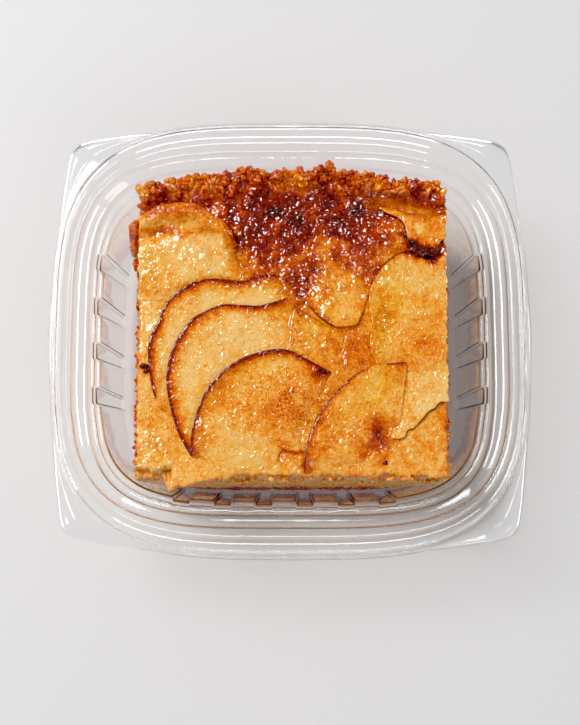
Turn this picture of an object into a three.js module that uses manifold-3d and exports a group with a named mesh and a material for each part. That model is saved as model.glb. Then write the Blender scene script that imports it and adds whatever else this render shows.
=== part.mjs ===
// A square of apple cake in the clear food tub that it is sold in. Millimetres, +Z up.
// The tub stands on z = 0, centred on the origin, with its front towards -Y.
// The cake fills most of the tub and leans against its back wall. Its apple slices are
// solids of their own, bedded in the top of the cake.
import * as THREE from 'three';
import { mergeVertices } from 'three/addons/utils/BufferGeometryUtils.js';
import Module from 'manifold-3d';

const wasm = await Module();
wasm.setup();

// ---------------------------------------------------------------- driving dimensions
const SHEET = 0.6;              // thickness of the tub's plastic
const FLANGE_Z = 57;            // height of the flange's upper face
const FLANGE_HALF_WIDTH = 92.5;
const FLANGE_HALF_DEPTH = 84.8;
// How the flange's edges fall away from their middles towards the corner tabs.
const FLANGE_SIDE_BOW = { amount: 0.00996, power: 1.5 };
const FLANGE_FRONT_BOW = { amount: 0.0065, power: 1.6 };
const TAB_SHARPNESS = 28;       // exponent that rounds the four corner tabs

const SIDE_FLUTES = { first: -22, pitch: 17.7, count: 4, width: 7 };
const FRONT_FLUTES = { first: -42.2, pitch: 16, count: 6, width: 6.6 };
const FLUTE_BLEND = 1.2;        // width of the slope at each edge of a flute
const CORNER_STEPS = 6;         // points round each corner of the tub

const CLEARANCE = 0.35;         // between the cake, its slices and the tub
const CAKE_BASE_Z = SHEET + 0.3;
const CAKE_TOP_Z = 52;
const CAKE_STEPS = 64;          // points round the cake
const RIDGE_HEIGHT = 5;         // how far the baked back edge stands above the top
const RIDGE_START_Y = 53;
const RIDGE_RUN = 8;            // how far back the ridge takes to rise
const SLICE_BED_Z = 47.5;       // underside of every apple slice
const SLICE_EDGE = 0.6;         // rounding of a slice's edges
const TOP_EDGE_DROP = 1.2;      // how far the cake's top falls at its very edge

const TUB_LOOK = { color: 0xe6e8ea, roughness: 0.1, opacity: 0.35 };
const CAKE_LOOK = { color: 0xc9853f, roughness: 0.6, opacity: 1 };
const APPLE_LOOK = { color: 0xf0b066, roughness: 0.35, opacity: 1 };

// Inner face of the tub from the flange down to the floor, one row for each turn of the
// profile: half width, half depth, squareness of the corners, height above the flange,
// and how deep the wall's flutes are cut there.
const TUB_PROFILE = [
  [90.6, 83.4, 3.45, 0.0, 0],       // foot of the outer bead
  [89.2, 82.0, 3.50, 3.4, 0],
  [87.6, 79.6, 3.50, 4.0, 0],       // crown of the bead
  [85.5, 75.9, 3.60, 0.5, 0],
  [84.2, 74.0, 3.70, 0.1, 0],       // groove that the lid snaps into
  [82.7, 71.6, 3.80, -2.9, 0],
  [78.5, 68.1, 4.10, -6.6, 0],      // sloping shoulder
  [77.2, 66.6, 4.15, -11.4, 0.5],
  [74.6, 63.0, 4.30, -12.2, 2.4],   // ledge above the fluted wall
  [70.9, 59.3, 4.40, -50.0, 1.6],
  [69.4, 57.9, 4.40, -54.6, 0],
  [66.5, 55.0, 4.40, -56.4, 0],     // edge of the floor
];

// ---------------------------------------------------------------- helpers
function smoothstep(low, high, value) {
  const t = Math.min(Math.max((value - low) / (high - low), 0), 1);
  return t * t * (3 - 2 * t);
}

// Builds a closed mesh from stacked rings of points, with a point at each end.
function loft(rings, firstPole, lastPole) {
  const count = rings[0].length;
  const position = [firstPole, ...rings.flat(), lastPole].flat();
  const last = rings.length * count + 1;
  const index = [];
  for (let i = 0; i < count; i += 1) {
    const next = (i + 1) % count;
    index.push(0, 1 + next, 1 + i);
    for (let k = 0; k + 1 < rings.length; k += 1) {
      const low = 1 + k * count;
      const high = low + count;
      index.push(low + i, low + next, high + next, low + i, high + next, high + i);
    }
    const top = 1 + (rings.length - 1) * count;
    index.push(last, top + i, top + next);
  }
  const geometry = new THREE.BufferGeometry();
  geometry.setAttribute('position', new THREE.Float32BufferAttribute(position, 3));
  geometry.setIndex(index);
  return geometry;
}

function toSolid(geometry) {
  const bare = geometry.clone();
  bare.deleteAttribute('normal');
  bare.deleteAttribute('uv');
  const merged = mergeVertices(bare, 1e-4);
  return new wasm.Manifold(new wasm.Mesh({
    numProp: 3,
    vertProperties: new Float32Array(merged.attributes.position.array),
    triVerts: new Uint32Array(merged.index.array),
  }));
}

function toGeometry(solid) {
  const mesh = solid.getMesh();
  const geometry = new THREE.BufferGeometry();
  geometry.setAttribute('position', new THREE.BufferAttribute(mesh.vertProperties, 3));
  geometry.setIndex(new THREE.BufferAttribute(mesh.triVerts, 1));
  geometry.computeVertexNormals();
  return geometry;
}

// ---------------------------------------------------------------- the tub
// A level of the tub is a superellipse: two sides that bow gently into round corners.
function levelReach(level, x, y) {
  return (Math.abs(x / level.w) ** level.n + Math.abs(y / level.d) ** level.n) ** (-1 / level.n);
}

// The flange's own outline, bowed sides with a tab at each corner.
function bowed(half, bow, along) {
  return Math.max(half - bow.amount * along ** bow.power, 1);
}

function flangeReach(x, y) {
  let low = 0;
  let high = 2 * FLANGE_HALF_WIDTH;
  for (let i = 0; i < 40; i += 1) {
    const reach = (low + high) / 2;
    const px = Math.abs(x * reach);
    const py = Math.abs(y * reach);
    const side = px / bowed(FLANGE_HALF_WIDTH, FLANGE_SIDE_BOW, py);
    const front = py / bowed(FLANGE_HALF_DEPTH, FLANGE_FRONT_BOW, px);
    if (side ** TAB_SHARPNESS + front ** TAB_SHARPNESS < 1) low = reach;
    else high = reach;
  }
  return low;
}

// Stations along one wall: both lips and both inner corners of every flute.
function fluteStations({ first, pitch, count, width }) {
  const stations = [];
  for (let i = 0; i < count; i += 1) {
    const middle = first + i * pitch;
    for (const [offset, depth] of [
      [-width / 2, 0],
      [-width / 2 + FLUTE_BLEND, 1],
      [width / 2 - FLUTE_BLEND, 1],
      [width / 2, 0],
    ]) {
      stations.push({ at: middle + offset, depth });
    }
  }
  return stations;
}

const sideStations = fluteStations(SIDE_FLUTES);
const frontStations = fluteStations(FRONT_FLUTES);

// One ring of the tub, counter-clockwise from above, starting on the right wall.
function tubRing(level, z, outline) {
  const flute = level.flute ?? 0;
  const polar = (angle) => {
    const x = Math.cos(angle);
    const y = Math.sin(angle);
    const reach = outline ? outline(x, y) : levelReach(level, x, y);
    return [x * reach, y * reach, z];
  };
  // A point on a side wall at a given y, or on a front or back wall at a given x.
  const wallPoint = (station, side, onSide) => {
    const length = onSide ? level.w : level.d;
    const across = onSide ? level.d : level.w;
    const bow = (1 - Math.abs(station.at / across) ** level.n) ** (1 / level.n);
    const away = side * (length * bow + flute * station.depth);
    const angle = onSide ? Math.atan2(station.at, away) : Math.atan2(away, station.at);
    if (outline) return polar(angle);
    return onSide ? [away, station.at, z] : [station.at, away, z];
  };
  const walls = [
    sideStations.map((s) => wallPoint(s, 1, true)),
    [...frontStations].reverse().map((s) => wallPoint(s, 1, false)),
    [...sideStations].reverse().map((s) => wallPoint(s, -1, true)),
    frontStations.map((s) => wallPoint(s, -1, false)),
  ];
  const ring = [];
  walls.forEach((wall, i) => {
    const from = wall[wall.length - 1];
    const to = walls[(i + 1) % 4][0];
    const start = Math.atan2(from[1], from[0]);
    let sweep = Math.atan2(to[1], to[0]) - start;
    if (sweep < 0) sweep += 2 * Math.PI;
    ring.push(...wall);
    for (let k = 1; k <= CORNER_STEPS; k += 1) {
      ring.push(polar(start + (sweep * k) / (CORNER_STEPS + 1)));
    }
  });
  return ring;
}

const levels = TUB_PROFILE.map(([w, d, n, z, flute]) => ({ w, d, n, z: z + FLANGE_Z, flute }));

// The same levels moved off the sheet by its thickness, square to the profile.
function offsetLevels(distance) {
  return levels.map((level, i) => {
    const before = levels[Math.max(i - 1, 0)];
    const after = levels[Math.min(i + 1, levels.length - 1)];
    const run = after.w - before.w;
    const drop = after.z - before.z;
    const length = Math.hypot(run, drop);
    const out = (distance * -drop) / length;
    const down = (distance * run) / length;
    return { ...level, w: level.w + out, d: level.d + out, z: level.z + down };
  });
}

function makeTub() {
  const under = offsetLevels(SHEET);
  // The underside is flat where the tub stands.
  under[under.length - 1].z = 0;
  const flangeLevel = { ...levels[0], flute: 0 };
  const rings = [
    ...[...under].reverse().map((level) => tubRing(level, level.z)),
    tubRing(flangeLevel, FLANGE_Z - SHEET, flangeReach),
    tubRing(flangeLevel, FLANGE_Z, flangeReach),
    ...levels.map((level) => tubRing(level, level.z)),
  ];
  return loft(rings, [0, 0, 0], [0, 0, SHEET]);
}

// How far from the middle something may reach in a given direction at a given height and
// still clear the tub's inner face.
function roomReach(x, y, z) {
  const above = Math.max(levels.findIndex((level) => level.z <= z), 1);
  const high = levels[above - 1];
  const low = levels[above];
  const t = Math.min(Math.max((z - low.z) / (high.z - low.z), 0), 1);
  const mix = (key) => low[key] + (high[key] - low[key]) * t;
  const room = { w: mix('w') - 2 * CLEARANCE, d: mix('d') - 2 * CLEARANCE, n: mix('n') };
  return levelReach(room, x, y);
}

// ---------------------------------------------------------------- the cake
// The cake leans back: its top sits further towards +Y than its base. Its lower corners
// give way to the tub's round ones.
const CAKE_LEVELS = [
  { z: CAKE_BASE_Z, left: -60.5, right: 62, front: -58.4, back: 57.8 },
  { z: 4, left: -61.5, right: 63.5, front: -58.4, back: 58.4 },
  { z: 24, left: -61, right: 63.2, front: -56.8, back: 61 },
  { z: 44.6, left: -60.4, right: 62, front: -54.8, back: 63.6 },
  { z: 50, left: -59.8, right: 61.2, front: -54.2, back: 65 },
];
const BROW = CAKE_LEVELS[CAKE_LEVELS.length - 1];
const CAKE_CORNER = 14;         // exponent of the cake's nearly square corners
const CAKE_WAVE = 0.7;          // unevenness of its sides
const TOP_RINGS = [1, 0.985, 0.92, 0.84, 0.6, 0.3];
// A tongue of batter that baked out over the front edge.
const FLAP = { middle: -35, halfWidth: 12, reach: 3.4, fromZ: 40 };

function cakeRing(level, scale, heightAt) {
  const middleX = (level.left + level.right) / 2;
  const middleY = (level.front + level.back) / 2;
  const halfX = (level.right - level.left) / 2;
  const halfY = (level.back - level.front) / 2;
  const ring = [];
  for (let i = 0; i < CAKE_STEPS; i += 1) {
    const angle = (2 * Math.PI * (i + 0.5)) / CAKE_STEPS;
    const x = Math.cos(angle);
    const y = Math.sin(angle);
    const reach = (Math.abs(x) ** CAKE_CORNER + Math.abs(y) ** CAKE_CORNER) ** (-1 / CAKE_CORNER);
    const wave = CAKE_WAVE * (Math.sin(5 * angle + level.z * 0.2) + Math.sin(11 * angle + 1)) / 2;
    let px = middleX + x * (reach * halfX - wave) * scale;
    let py = middleY + y * (reach * halfY - wave) * scale;
    if (y < 0 && level.z > FLAP.fromZ) {
      const near = 1 - smoothstep(0, FLAP.halfWidth, Math.abs(px - FLAP.middle));
      py -= FLAP.reach * near * scale ** 8;
    }
    const limit = roomReach(px, py, level.z) * scale;
    if (limit < 1) {
      px *= limit;
      py *= limit;
    }
    ring.push([px, py, heightAt ? heightAt(px, py) : level.z]);
  }
  return ring;
}

// The top is nearly level and rises to the baked ridge along the back.
function cakeTop(x, y) {
  const ripple = 0.5 * Math.sin(x / 9 + 1) * Math.cos(y / 11);
  return CAKE_TOP_Z + ripple + RIDGE_HEIGHT * smoothstep(0, RIDGE_RUN, y - RIDGE_START_Y);
}

function makeCake(topRings) {
  const foot = CAKE_LEVELS[0];
  const middleX = (BROW.left + BROW.right) / 2;
  const middleY = (BROW.front + BROW.back) / 2;
  return toSolid(loft(
    [...CAKE_LEVELS.map((level) => cakeRing(level, 1)), ...topRings],
    [(foot.left + foot.right) / 2, (foot.front + foot.back) / 2, foot.z],
    [middleX, middleY, topRings[topRings.length - 1][0][2]],
  ));
}

// The cake as baked, before the slices take their places in it.
function makeBatter() {
  const edgeHeight = (x, y) => cakeTop(x, y) - TOP_EDGE_DROP;
  return makeCake(TOP_RINGS.map((scale, i) => cakeRing(BROW, scale, i ? cakeTop : edgeHeight)));
}

// The same outline carried straight up, which trims the slices flush with the cut sides.
function makeTrim() {
  return makeCake([cakeRing(BROW, 1, () => FLANGE_Z + 2 * RIDGE_HEIGHT)]);
}

// ---------------------------------------------------------------- the apple slices
// Each slice: its skin, a spline through a few points of its rounded edge, then the cut
// edge that closes it, and the heights of its upper face at the skin and at the far side.
// They are listed from the one that lies on top to the ones that it covers.
const SLICES = [
  {
    name: 'slice_front',
    skin: [[-37.5, -46.5], [-35.3, -28.9], [-26.2, -13.4], [-5, -4.7], [7.7, -9.7], [15.8, -13.4]],
    cut: [[12.3, -20.4], [5.7, -35.8], [4, -46], [-4, -51], [-15, -52.4], [-27, -50]],
    skinZ: 54.2,
    farZ: 52.2,
    rise: [-0.55, 0.83],
  },
  {
    name: 'slice_left_inner',
    skin: [[-38.2, -45.7], [-45.3, -30.1], [-46.6, -10], [-38.1, 6.9], [-25.3, 12.8], [-12.4, 12.2],
      [0, 15.6], [6.2, 14.8]],
    cut: [[1, 9], [0.4, -10], [-12, -24], [-30, -40]],
    skinZ: 54,
    farZ: 52.2,
    rise: [-0.7, 0.71],
  },
  {
    name: 'slice_left_outer',
    skin: [[-50.6, -27], [-54.1, -8.8], [-49.4, 10.1], [-35.1, 22.5], [-17.6, 22.7], [-5.1, 24.5],
      [1.6, 18.4]],
    cut: [[-6, 4], [-30, -8], [-44, -30]],
    skinZ: 53.6,
    farZ: 52,
    rise: [-0.7, 0.71],
  },
  {
    name: 'slice_front_right',
    skin: [[5.2, -51.5], [7.3, -38.5], [15.4, -23.5], [28.9, -14], [44.8, -9.7]],
    cut: [[43.9, -21.6], [41.6, -33.4], [36, -39], [29, -48.6], [20, -52.6]],
    skinZ: 54,
    farZ: 52.4,
    rise: [-0.7, 0.71],
  },
  {
    name: 'slice_right',
    skin: [[34, -10.6], [30.8, -2.9], [31.6, 4], [30, 13.6], [34.4, 24.7], [46.6, 34.3],
      [56, 35.6]],
    cut: [[64, 33.5], [64, 0], [64, -14.5], [47, -13.5]],
    skinZ: 53.6,
    farZ: 52.6,
    rise: [-0.9, 0.4],
  },
  {
    name: 'slice_right_low',
    skin: [[64, -24.4], [56.5, -25.6], [51.8, -30.4], [46.7, -35.4], [39.4, -39.4]],
    cut: [[36, -36], [40, -14], [64, -12]],
    skinZ: 53.2,
    farZ: 52.4,
    rise: [0.7, -0.71],
  },
  {
    name: 'slice_centre',
    skin: [[6.6, 13.6], [10.9, 8.2], [15.6, 4.6], [22, 3.8], [26, 5.4]],
    cut: [[30.2, 17], [31, 22], [24, 29.5], [14, 31], [7, 24]],
    skinZ: 53.4,
    farZ: 52.2,
    rise: [0.1, -1],
  },
  {
    name: 'slice_centre_low',
    skin: [[1.2, 13], [8, 9], [15, 4.4], [21, 1], [19, -7], [12, -10.6]],
    cut: [[4, -7], [1, -3]],
    skinZ: 52.8,
    farZ: 52.2,
    rise: [0.3, 0.95],
  },
  {
    name: 'slice_back_left',
    skin: [[-62, 48.6], [-56, 50.6], [-51.2, 52.6], [-40, 53.6], [-31.5, 50.8], [-23.6, 43.5],
      [-19.6, 33]],
    cut: [[-19.8, 24], [-34, 24.4], [-47, 20.4], [-62, 16.6]],
    skinZ: 56.2,
    farZ: 52.2,
    rise: [0.35, 0.94],
  },
  {
    name: 'slice_back_right',
    skin: [[35.6, 49.4], [42, 44.6], [47.8, 40.6], [53.5, 38], [64, 39.6]],
    cut: [[64, 46.2], [50, 50], [39.6, 52.4]],
    skinZ: 53.6,
    farZ: 55.2,
    rise: [-0.3, -0.95],
  },
  {
    name: 'slice_amber',
    skin: [[25.6, 54.4], [34, 51.6], [46, 51.6], [64, 46.8]],
    cut: [[64, 53], [46, 57.6], [30, 59]],
    skinZ: 55.6,
    farZ: 57,
    rise: [0, -1],
  },
];
const SKIN_STEPS = 14;          // edges along a slice's skin
const CUT_STEPS = 7;            // edges along the cut that closes it
const BLANK_HEIGHT = 1;         // height of a slice's prism before its faces take their places
const BED_HEIGHT = 20;          // height of the prism that makes room for a slice
const BED_START_BELOW = 5;      // how far under a slice it cuts the slices that lie lower

function sliceOutline({ skin, cut }) {
  const toVectors = (points) => points.map(([x, y]) => new THREE.Vector3(x, y, 0));
  const round = new THREE.CatmullRomCurve3(toVectors(skin), false, 'centripetal');
  const closing = [skin[skin.length - 1], ...cut, skin[0]];
  const straight = new THREE.CatmullRomCurve3(toVectors(closing), false, 'centripetal');
  const points = [
    ...round.getSpacedPoints(SKIN_STEPS).slice(0, -1),
    ...straight.getSpacedPoints(CUT_STEPS).slice(0, -1),
  ].map(({ x, y }) => new THREE.Vector2(x, y));
  return THREE.ShapeUtils.isClockWise(points) ? points.reverse() : points;
}

// A slice is its outline from the bed up to a tilted plane, with rounded edges.
function makeSlice(slice) {
  const outline = sliceOutline(slice);
  const [riseX, riseY] = slice.rise;
  const along = (x, y) => x * riseX + y * riseY;
  const reach = outline.map(({ x, y }) => along(x, y));
  const low = Math.min(...reach);
  const high = Math.max(...reach);
  const geometry = new THREE.ExtrudeGeometry(new THREE.Shape(outline), {
    depth: BLANK_HEIGHT,
    steps: 1,
    bevelThickness: SLICE_EDGE,
    bevelSize: SLICE_EDGE,
    bevelOffset: -SLICE_EDGE,
    bevelSegments: 1,
  });
  const position = geometry.attributes.position;
  for (let i = 0; i < position.count; i += 1) {
    const t = (along(position.getX(i), position.getY(i)) - low) / (high - low);
    const top = slice.farZ + (slice.skinZ - slice.farZ) * t - BLANK_HEIGHT - SLICE_EDGE;
    const bottom = SLICE_BED_Z + SLICE_EDGE;
    const z = position.getZ(i);
    position.setZ(i, z + (z > BLANK_HEIGHT / 2 ? top : bottom));
  }
  return toSolid(geometry);
}

// An upright prism round a slice, wider by the clearance, that cuts what lies beside it.
function makeBed(slice, floor) {
  const outline = sliceOutline(slice);
  const wide = outline.map((point, i) => {
    const before = outline[(i + outline.length - 1) % outline.length];
    const after = outline[(i + 1) % outline.length];
    const along = after.clone().sub(before).normalize();
    return new THREE.Vector2(point.x + along.y * CLEARANCE, point.y - along.x * CLEARANCE);
  });
  const geometry = new THREE.ExtrudeGeometry(new THREE.Shape(wide), {
    depth: BED_HEIGHT,
    steps: 1,
    bevelEnabled: false,
  });
  geometry.translate(0, 0, floor);
  return toSolid(geometry);
}

// ---------------------------------------------------------------- the object
function finish(name, geometry, look) {
  const material = new THREE.MeshStandardMaterial({ ...look, metalness: 0 });
  material.transparent = look.opacity < 1;
  const mesh = new THREE.Mesh(geometry, material);
  mesh.name = name;
  return mesh;
}

const group = new THREE.Group();
group.add(finish('tub', makeTub(), TUB_LOOK));

let batter = makeBatter();
const trim = makeTrim();
const cutters = [];
for (const slice of SLICES) {
  let solid = makeSlice(slice).intersect(trim);
  for (const cutter of cutters) solid = solid.subtract(cutter);
  cutters.push(makeBed(slice, SLICE_BED_Z - BED_START_BELOW));
  batter = batter.subtract(makeBed(slice, SLICE_BED_Z - CLEARANCE));
  group.add(finish(slice.name, toGeometry(solid), APPLE_LOOK));
}
group.add(finish('cake', toGeometry(batter), CAKE_LOOK));

export default group;
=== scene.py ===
import math
from collections import namedtuple

import bpy
import numpy as np
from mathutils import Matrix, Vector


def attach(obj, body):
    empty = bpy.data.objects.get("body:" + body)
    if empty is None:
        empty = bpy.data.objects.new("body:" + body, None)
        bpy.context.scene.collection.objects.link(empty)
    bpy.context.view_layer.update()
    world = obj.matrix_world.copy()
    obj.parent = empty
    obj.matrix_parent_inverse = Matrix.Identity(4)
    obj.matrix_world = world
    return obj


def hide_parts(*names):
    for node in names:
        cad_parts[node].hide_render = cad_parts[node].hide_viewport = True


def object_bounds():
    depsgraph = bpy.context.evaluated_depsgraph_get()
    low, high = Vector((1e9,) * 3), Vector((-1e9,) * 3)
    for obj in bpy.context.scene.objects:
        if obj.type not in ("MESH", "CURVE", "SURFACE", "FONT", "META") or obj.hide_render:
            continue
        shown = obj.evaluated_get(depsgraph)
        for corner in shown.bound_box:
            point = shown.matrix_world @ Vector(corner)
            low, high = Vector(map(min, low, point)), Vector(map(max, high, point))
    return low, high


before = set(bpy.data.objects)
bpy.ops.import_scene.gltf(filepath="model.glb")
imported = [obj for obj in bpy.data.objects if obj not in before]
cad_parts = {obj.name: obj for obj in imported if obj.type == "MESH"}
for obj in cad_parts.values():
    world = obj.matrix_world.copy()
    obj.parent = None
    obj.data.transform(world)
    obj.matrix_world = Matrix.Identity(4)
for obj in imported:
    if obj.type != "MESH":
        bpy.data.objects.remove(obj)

cad_low, cad_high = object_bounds()


# ------------------------------------------------------------------ the place it stands in
# A pale, smooth worktop, lit by a soft window at the back left and, weakly, by a reflector
# at the front right, in a plain room that is darkest below. The camera looks almost straight
# down from the front.
MM = 0.001
CAMERA_TILT = math.radians(7.36)
CAMERA_ABOVE_RIM = 0.3933
CAMERA_STEP_BACK = 0.0617
CAMERA_LENS = 52.14
SENSOR_LONG_SIDE = 36.0
BLACK_LEVEL = 0.021
ROOM_STRENGTH = 0.37
WALL_LIGHT = ((0.0, 0.6), (0.2, 1.0), (0.6, 1.0), (1.0, 0.9))      # from below to overhead
WORKTOP_SIZE = 3.0
WORKTOP_COLOR = (0.80, 0.797, 0.807, 1)
WORKTOP_ROUGHNESS = 0.55

camera_data = bpy.data.cameras.new("camera")
camera_data.lens = CAMERA_LENS
camera_data.sensor_width = SENSOR_LONG_SIDE
camera_data.clip_start = 0.01
camera = bpy.data.objects.new("camera", camera_data)
camera.location = (0, -CAMERA_STEP_BACK, cad_high.z + CAMERA_ABOVE_RIM)
camera.rotation_euler = (CAMERA_TILT, 0, 0)
bpy.context.collection.objects.link(camera)
bpy.context.scene.camera = camera
look = bpy.context.scene.view_settings
look.view_transform = "Standard"
# Developed with deep blacks.
look.use_curve_mapping = True
look.curve_mapping.black_level = (BLACK_LEVEL,) * 3
look.curve_mapping.update()


def soft_light(name, location, size, watts, color, only=None):
    """A square or long lamp that looks at the middle of the tub and lights all, or only some."""
    data = bpy.data.lights.new(name, "AREA")
    data.shape = "RECTANGLE"
    data.size, data.size_y = size
    data.energy = watts
    data.color = color
    lamp = bpy.data.objects.new(name, data)
    lamp.location = location
    lamp.rotation_mode = "QUATERNION"
    lamp.rotation_quaternion = (-lamp.location).to_track_quat("-Z", "Y")
    bpy.context.collection.objects.link(lamp)
    if only is not None:
        lamp.light_linking.receiver_collection = only


soft_light("window", (-1.34, 1.0, 2.47), (1.05, 1.05), 61.0, (1.0, 0.995, 0.985))
soft_light("reflector", (2.2, -2.0, 2.0), (1.2, 1.2), 11.0, (1.0, 0.99, 0.97))


def new_material(name):
    """An empty Principled material; returns it with its node tree and its shader."""
    material = bpy.data.materials.new(name)
    material.use_nodes = True
    tree = material.node_tree
    return material, tree, tree.nodes["Principled BSDF"]


def new_node(tree, kind, links=None, **settings):
    """Adds a node, sets its inputs by name and its properties, and wires what is given."""
    node = tree.nodes.new(kind)
    for key, value in settings.items():
        if key in node.inputs:
            node.inputs[key].default_value = value
        else:
            setattr(node, key, value)
    for socket, source in (links or {}).items():
        tree.links.new(source, node.inputs[socket])
    return node


def ramp(tree, factor, stops):
    """A colour ramp through (position, colour) stops."""
    node = tree.nodes.new("ShaderNodeValToRGB")
    elements = node.color_ramp.elements
    while len(elements) < len(stops):
        elements.new(0.5)
    for element, (position, color) in zip(elements, stops):
        element.position = position
        element.color = (*color, 1) if len(color) == 3 else color
    tree.links.new(factor, node.inputs[0])
    return node.outputs[0]


room = bpy.data.worlds.new("room")
room.use_nodes = True
bpy.context.scene.world = room
background = room.node_tree.nodes["Background"]
background.inputs["Strength"].default_value = ROOM_STRENGTH
heading = new_node(room.node_tree, "ShaderNodeTexCoord")
upward = new_node(room.node_tree, "ShaderNodeSeparateXYZ", {"Vector": heading.outputs["Generated"]})
walls = ramp(room.node_tree, upward.outputs["Z"], [
    (place, (light, 0.99 * light, 0.98 * light)) for place, light in WALL_LIGHT])
room.node_tree.links.new(walls, background.inputs["Color"])

worktop_mesh = bpy.data.meshes.new("worktop")
half = WORKTOP_SIZE / 2
worktop_mesh.from_pydata(
    [(-half, -half, 0), (half, -half, 0), (half, half, 0), (-half, half, 0)], [], [(0, 1, 2, 3)]
)
worktop = bpy.data.objects.new("worktop", worktop_mesh)
bpy.context.collection.objects.link(worktop)
stone, tree, shader = new_material("worktop")
shader.inputs["Roughness"].default_value = WORKTOP_ROUGHNESS
shader.inputs["Base Color"].default_value = WORKTOP_COLOR
worktop_mesh.materials.append(stone)


# ------------------------------------------------------------------ the tub
# A food tub thermoformed from one clear sheet: a flange with four corner tabs, a rim bead
# and a snap groove for the lid, a sloping shoulder, two little ledges, and walls that
# are stiffened by upright flutes down to a flat floor.
SHEET = 0.5
BEND = 1.1              # how far from a turn of the profile its curve starts
FLANGE_Z = 57.0
FLANGE_HALF = (92.4, 84.7)
FLANGE_BOW = ((0.00996, 1.5), (0.0065, 1.6))    # how its sides and its front fall away
TAB_SHARPNESS = 28
FLANGE_LEAST = 0.6      # beyond the foot of the bead
CORNER_STATIONS = 33    # points round each corner
# half width, half depth, squareness, height above the flange, depth of the flutes
TUB_PROFILE = np.array([
    (91.15, 83.95, 3.45, 0.0, 0),
    (90.7, 83.5, 3.45, 0.0, 0),
    (89.9, 82.7, 3.48, 0.9, 0),
    (89.1, 81.8, 3.50, 3.2, 0),
    (88.2, 80.6, 3.50, 3.9, 0),
    (87.3, 79.2, 3.52, 3.8, 0),
    (86.4, 77.6, 3.55, 2.7, 0),
    (85.6, 76.1, 3.60, 0.5, 0),
    (84.8, 74.9, 3.65, 0.1, 0),
    (83.6, 73.0, 3.75, 0.1, 0),
    (82.9, 71.9, 3.80, -2.7, 0),
    (81.9, 70.8, 3.85, -3.6, 0),
    (79.4, 68.9, 4.00, -4.9, 0),
    (78.5, 68.1, 4.10, -5.8, 0),
    (78.0, 67.6, 4.10, -8.3, 0),
    (77.3, 66.7, 4.15, -9.1, 0),
    (76.3, 65.3, 4.20, -9.6, 0.5),
    (75.9, 64.7, 4.20, -11.5, 0.7),
    (74.9, 63.4, 4.30, -12.1, 1.2),
    (74.4, 62.7, 4.30, -13.2, 1.4),
    (70.9, 59.3, 4.40, -50.0, 1.2),
    (69.6, 58.1, 4.40, -54.2, 0.5),
    (67.6, 56.1, 4.40, -55.9, 0),
    (64.5, 53.0, 4.40, -56.4, 0),
    (30.0, 24.0, 4.00, -56.2, 0),
])
SIDE_FLUTES = -22 + 17.7 * np.arange(4)
FRONT_FLUTES = -42.2 + 16 * np.arange(6)
SIDE_WALL_END = 38.5                # where the corners start, from the middle of a wall
FRONT_WALL_END = 49
LEAST_WALLED = 60                   # a ring less wide than this has no room for the walls
FLUTE_HALF_WIDTH = (3.2, 4.1)       # at the floor and at the ledge
FLUTE_HEIGHTS = (-50, -13)
FLUTE_SLOPE = 1.4                   # how wide each side of a flute is
LIP_RADIUS = 0.32
PLASTIC_TINT = (0.985, 0.99, 0.99, 1)
PLASTIC_SHADE = (0.9, 0.9, 0.9, 1)


def smoothstep(low, high, value):
    t = np.clip((value - low) / (high - low), 0, 1)
    return t * t * (3 - 2 * t)


def round_profile(rows, reach, steps=4):
    """Replaces every turn of the profile with a small curve that starts reach before it."""
    curved = [rows[0]]
    for before, turn, after in zip(rows, rows[1:], rows[2:]):
        to_before, to_after = before - turn, after - turn
        start = turn + to_before * min(reach / np.hypot(to_before[0], to_before[3]), 0.45)
        end = turn + to_after * min(reach / np.hypot(to_after[0], to_after[3]), 0.45)
        for t in np.linspace(0, 1, steps + 1):
            curved.append((1 - t) ** 2 * start + 2 * t * (1 - t) * turn + t * t * end)
    return np.array([*curved, rows[-1]])


def superellipse(x, y, w, d, n):
    """How far a direction has to be stretched to meet a superellipse."""
    return (np.abs(x / w) ** n + np.abs(y / d) ** n) ** (-1 / n)


def flange_reach(x, y):
    """How far the flange's edge is in a direction, found by halving."""
    low, high = np.zeros_like(x), np.full_like(x, 2 * FLANGE_HALF[0])
    for _ in range(40):
        reach = (low + high) / 2
        px, py = np.abs(x * reach), np.abs(y * reach)
        (side_bow, side_power), (front_bow, front_power) = FLANGE_BOW
        side = px / np.maximum(FLANGE_HALF[0] - side_bow * py ** side_power, 1)
        front = py / np.maximum(FLANGE_HALF[1] - front_bow * px ** front_power, 1)
        within = side ** TAB_SHARPNESS + front ** TAB_SHARPNESS < 1
        low, high = np.where(within, reach, low), np.where(within, high, reach)
    return low


def wall_stations(flutes, end, z):
    """Places along a wall, closest together where the flutes' edges are, and the depth there
    as a share of the flute's own: 1 in a flute and 0 between flutes."""
    half_width = np.interp(z, FLUTE_HEIGHTS, FLUTE_HALF_WIDTH)
    steps = FLUTE_SLOPE * np.linspace(-1, 0, 5)
    side = np.concatenate((steps, [half_width * 0.6])) + half_width
    offsets = np.concatenate((-side[::-1], [0], side))
    fall = 1 - smoothstep(0, 1, np.linspace(0, 1, 5))
    depth = np.concatenate(([0], fall[::-1], [1], fall, [0]))
    stations = (flutes[:, None] + offsets).ravel()
    stations = np.concatenate(([-end], stations, [end]))
    return stations, np.concatenate(([0], np.tile(depth, len(flutes)), [0]))


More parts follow.
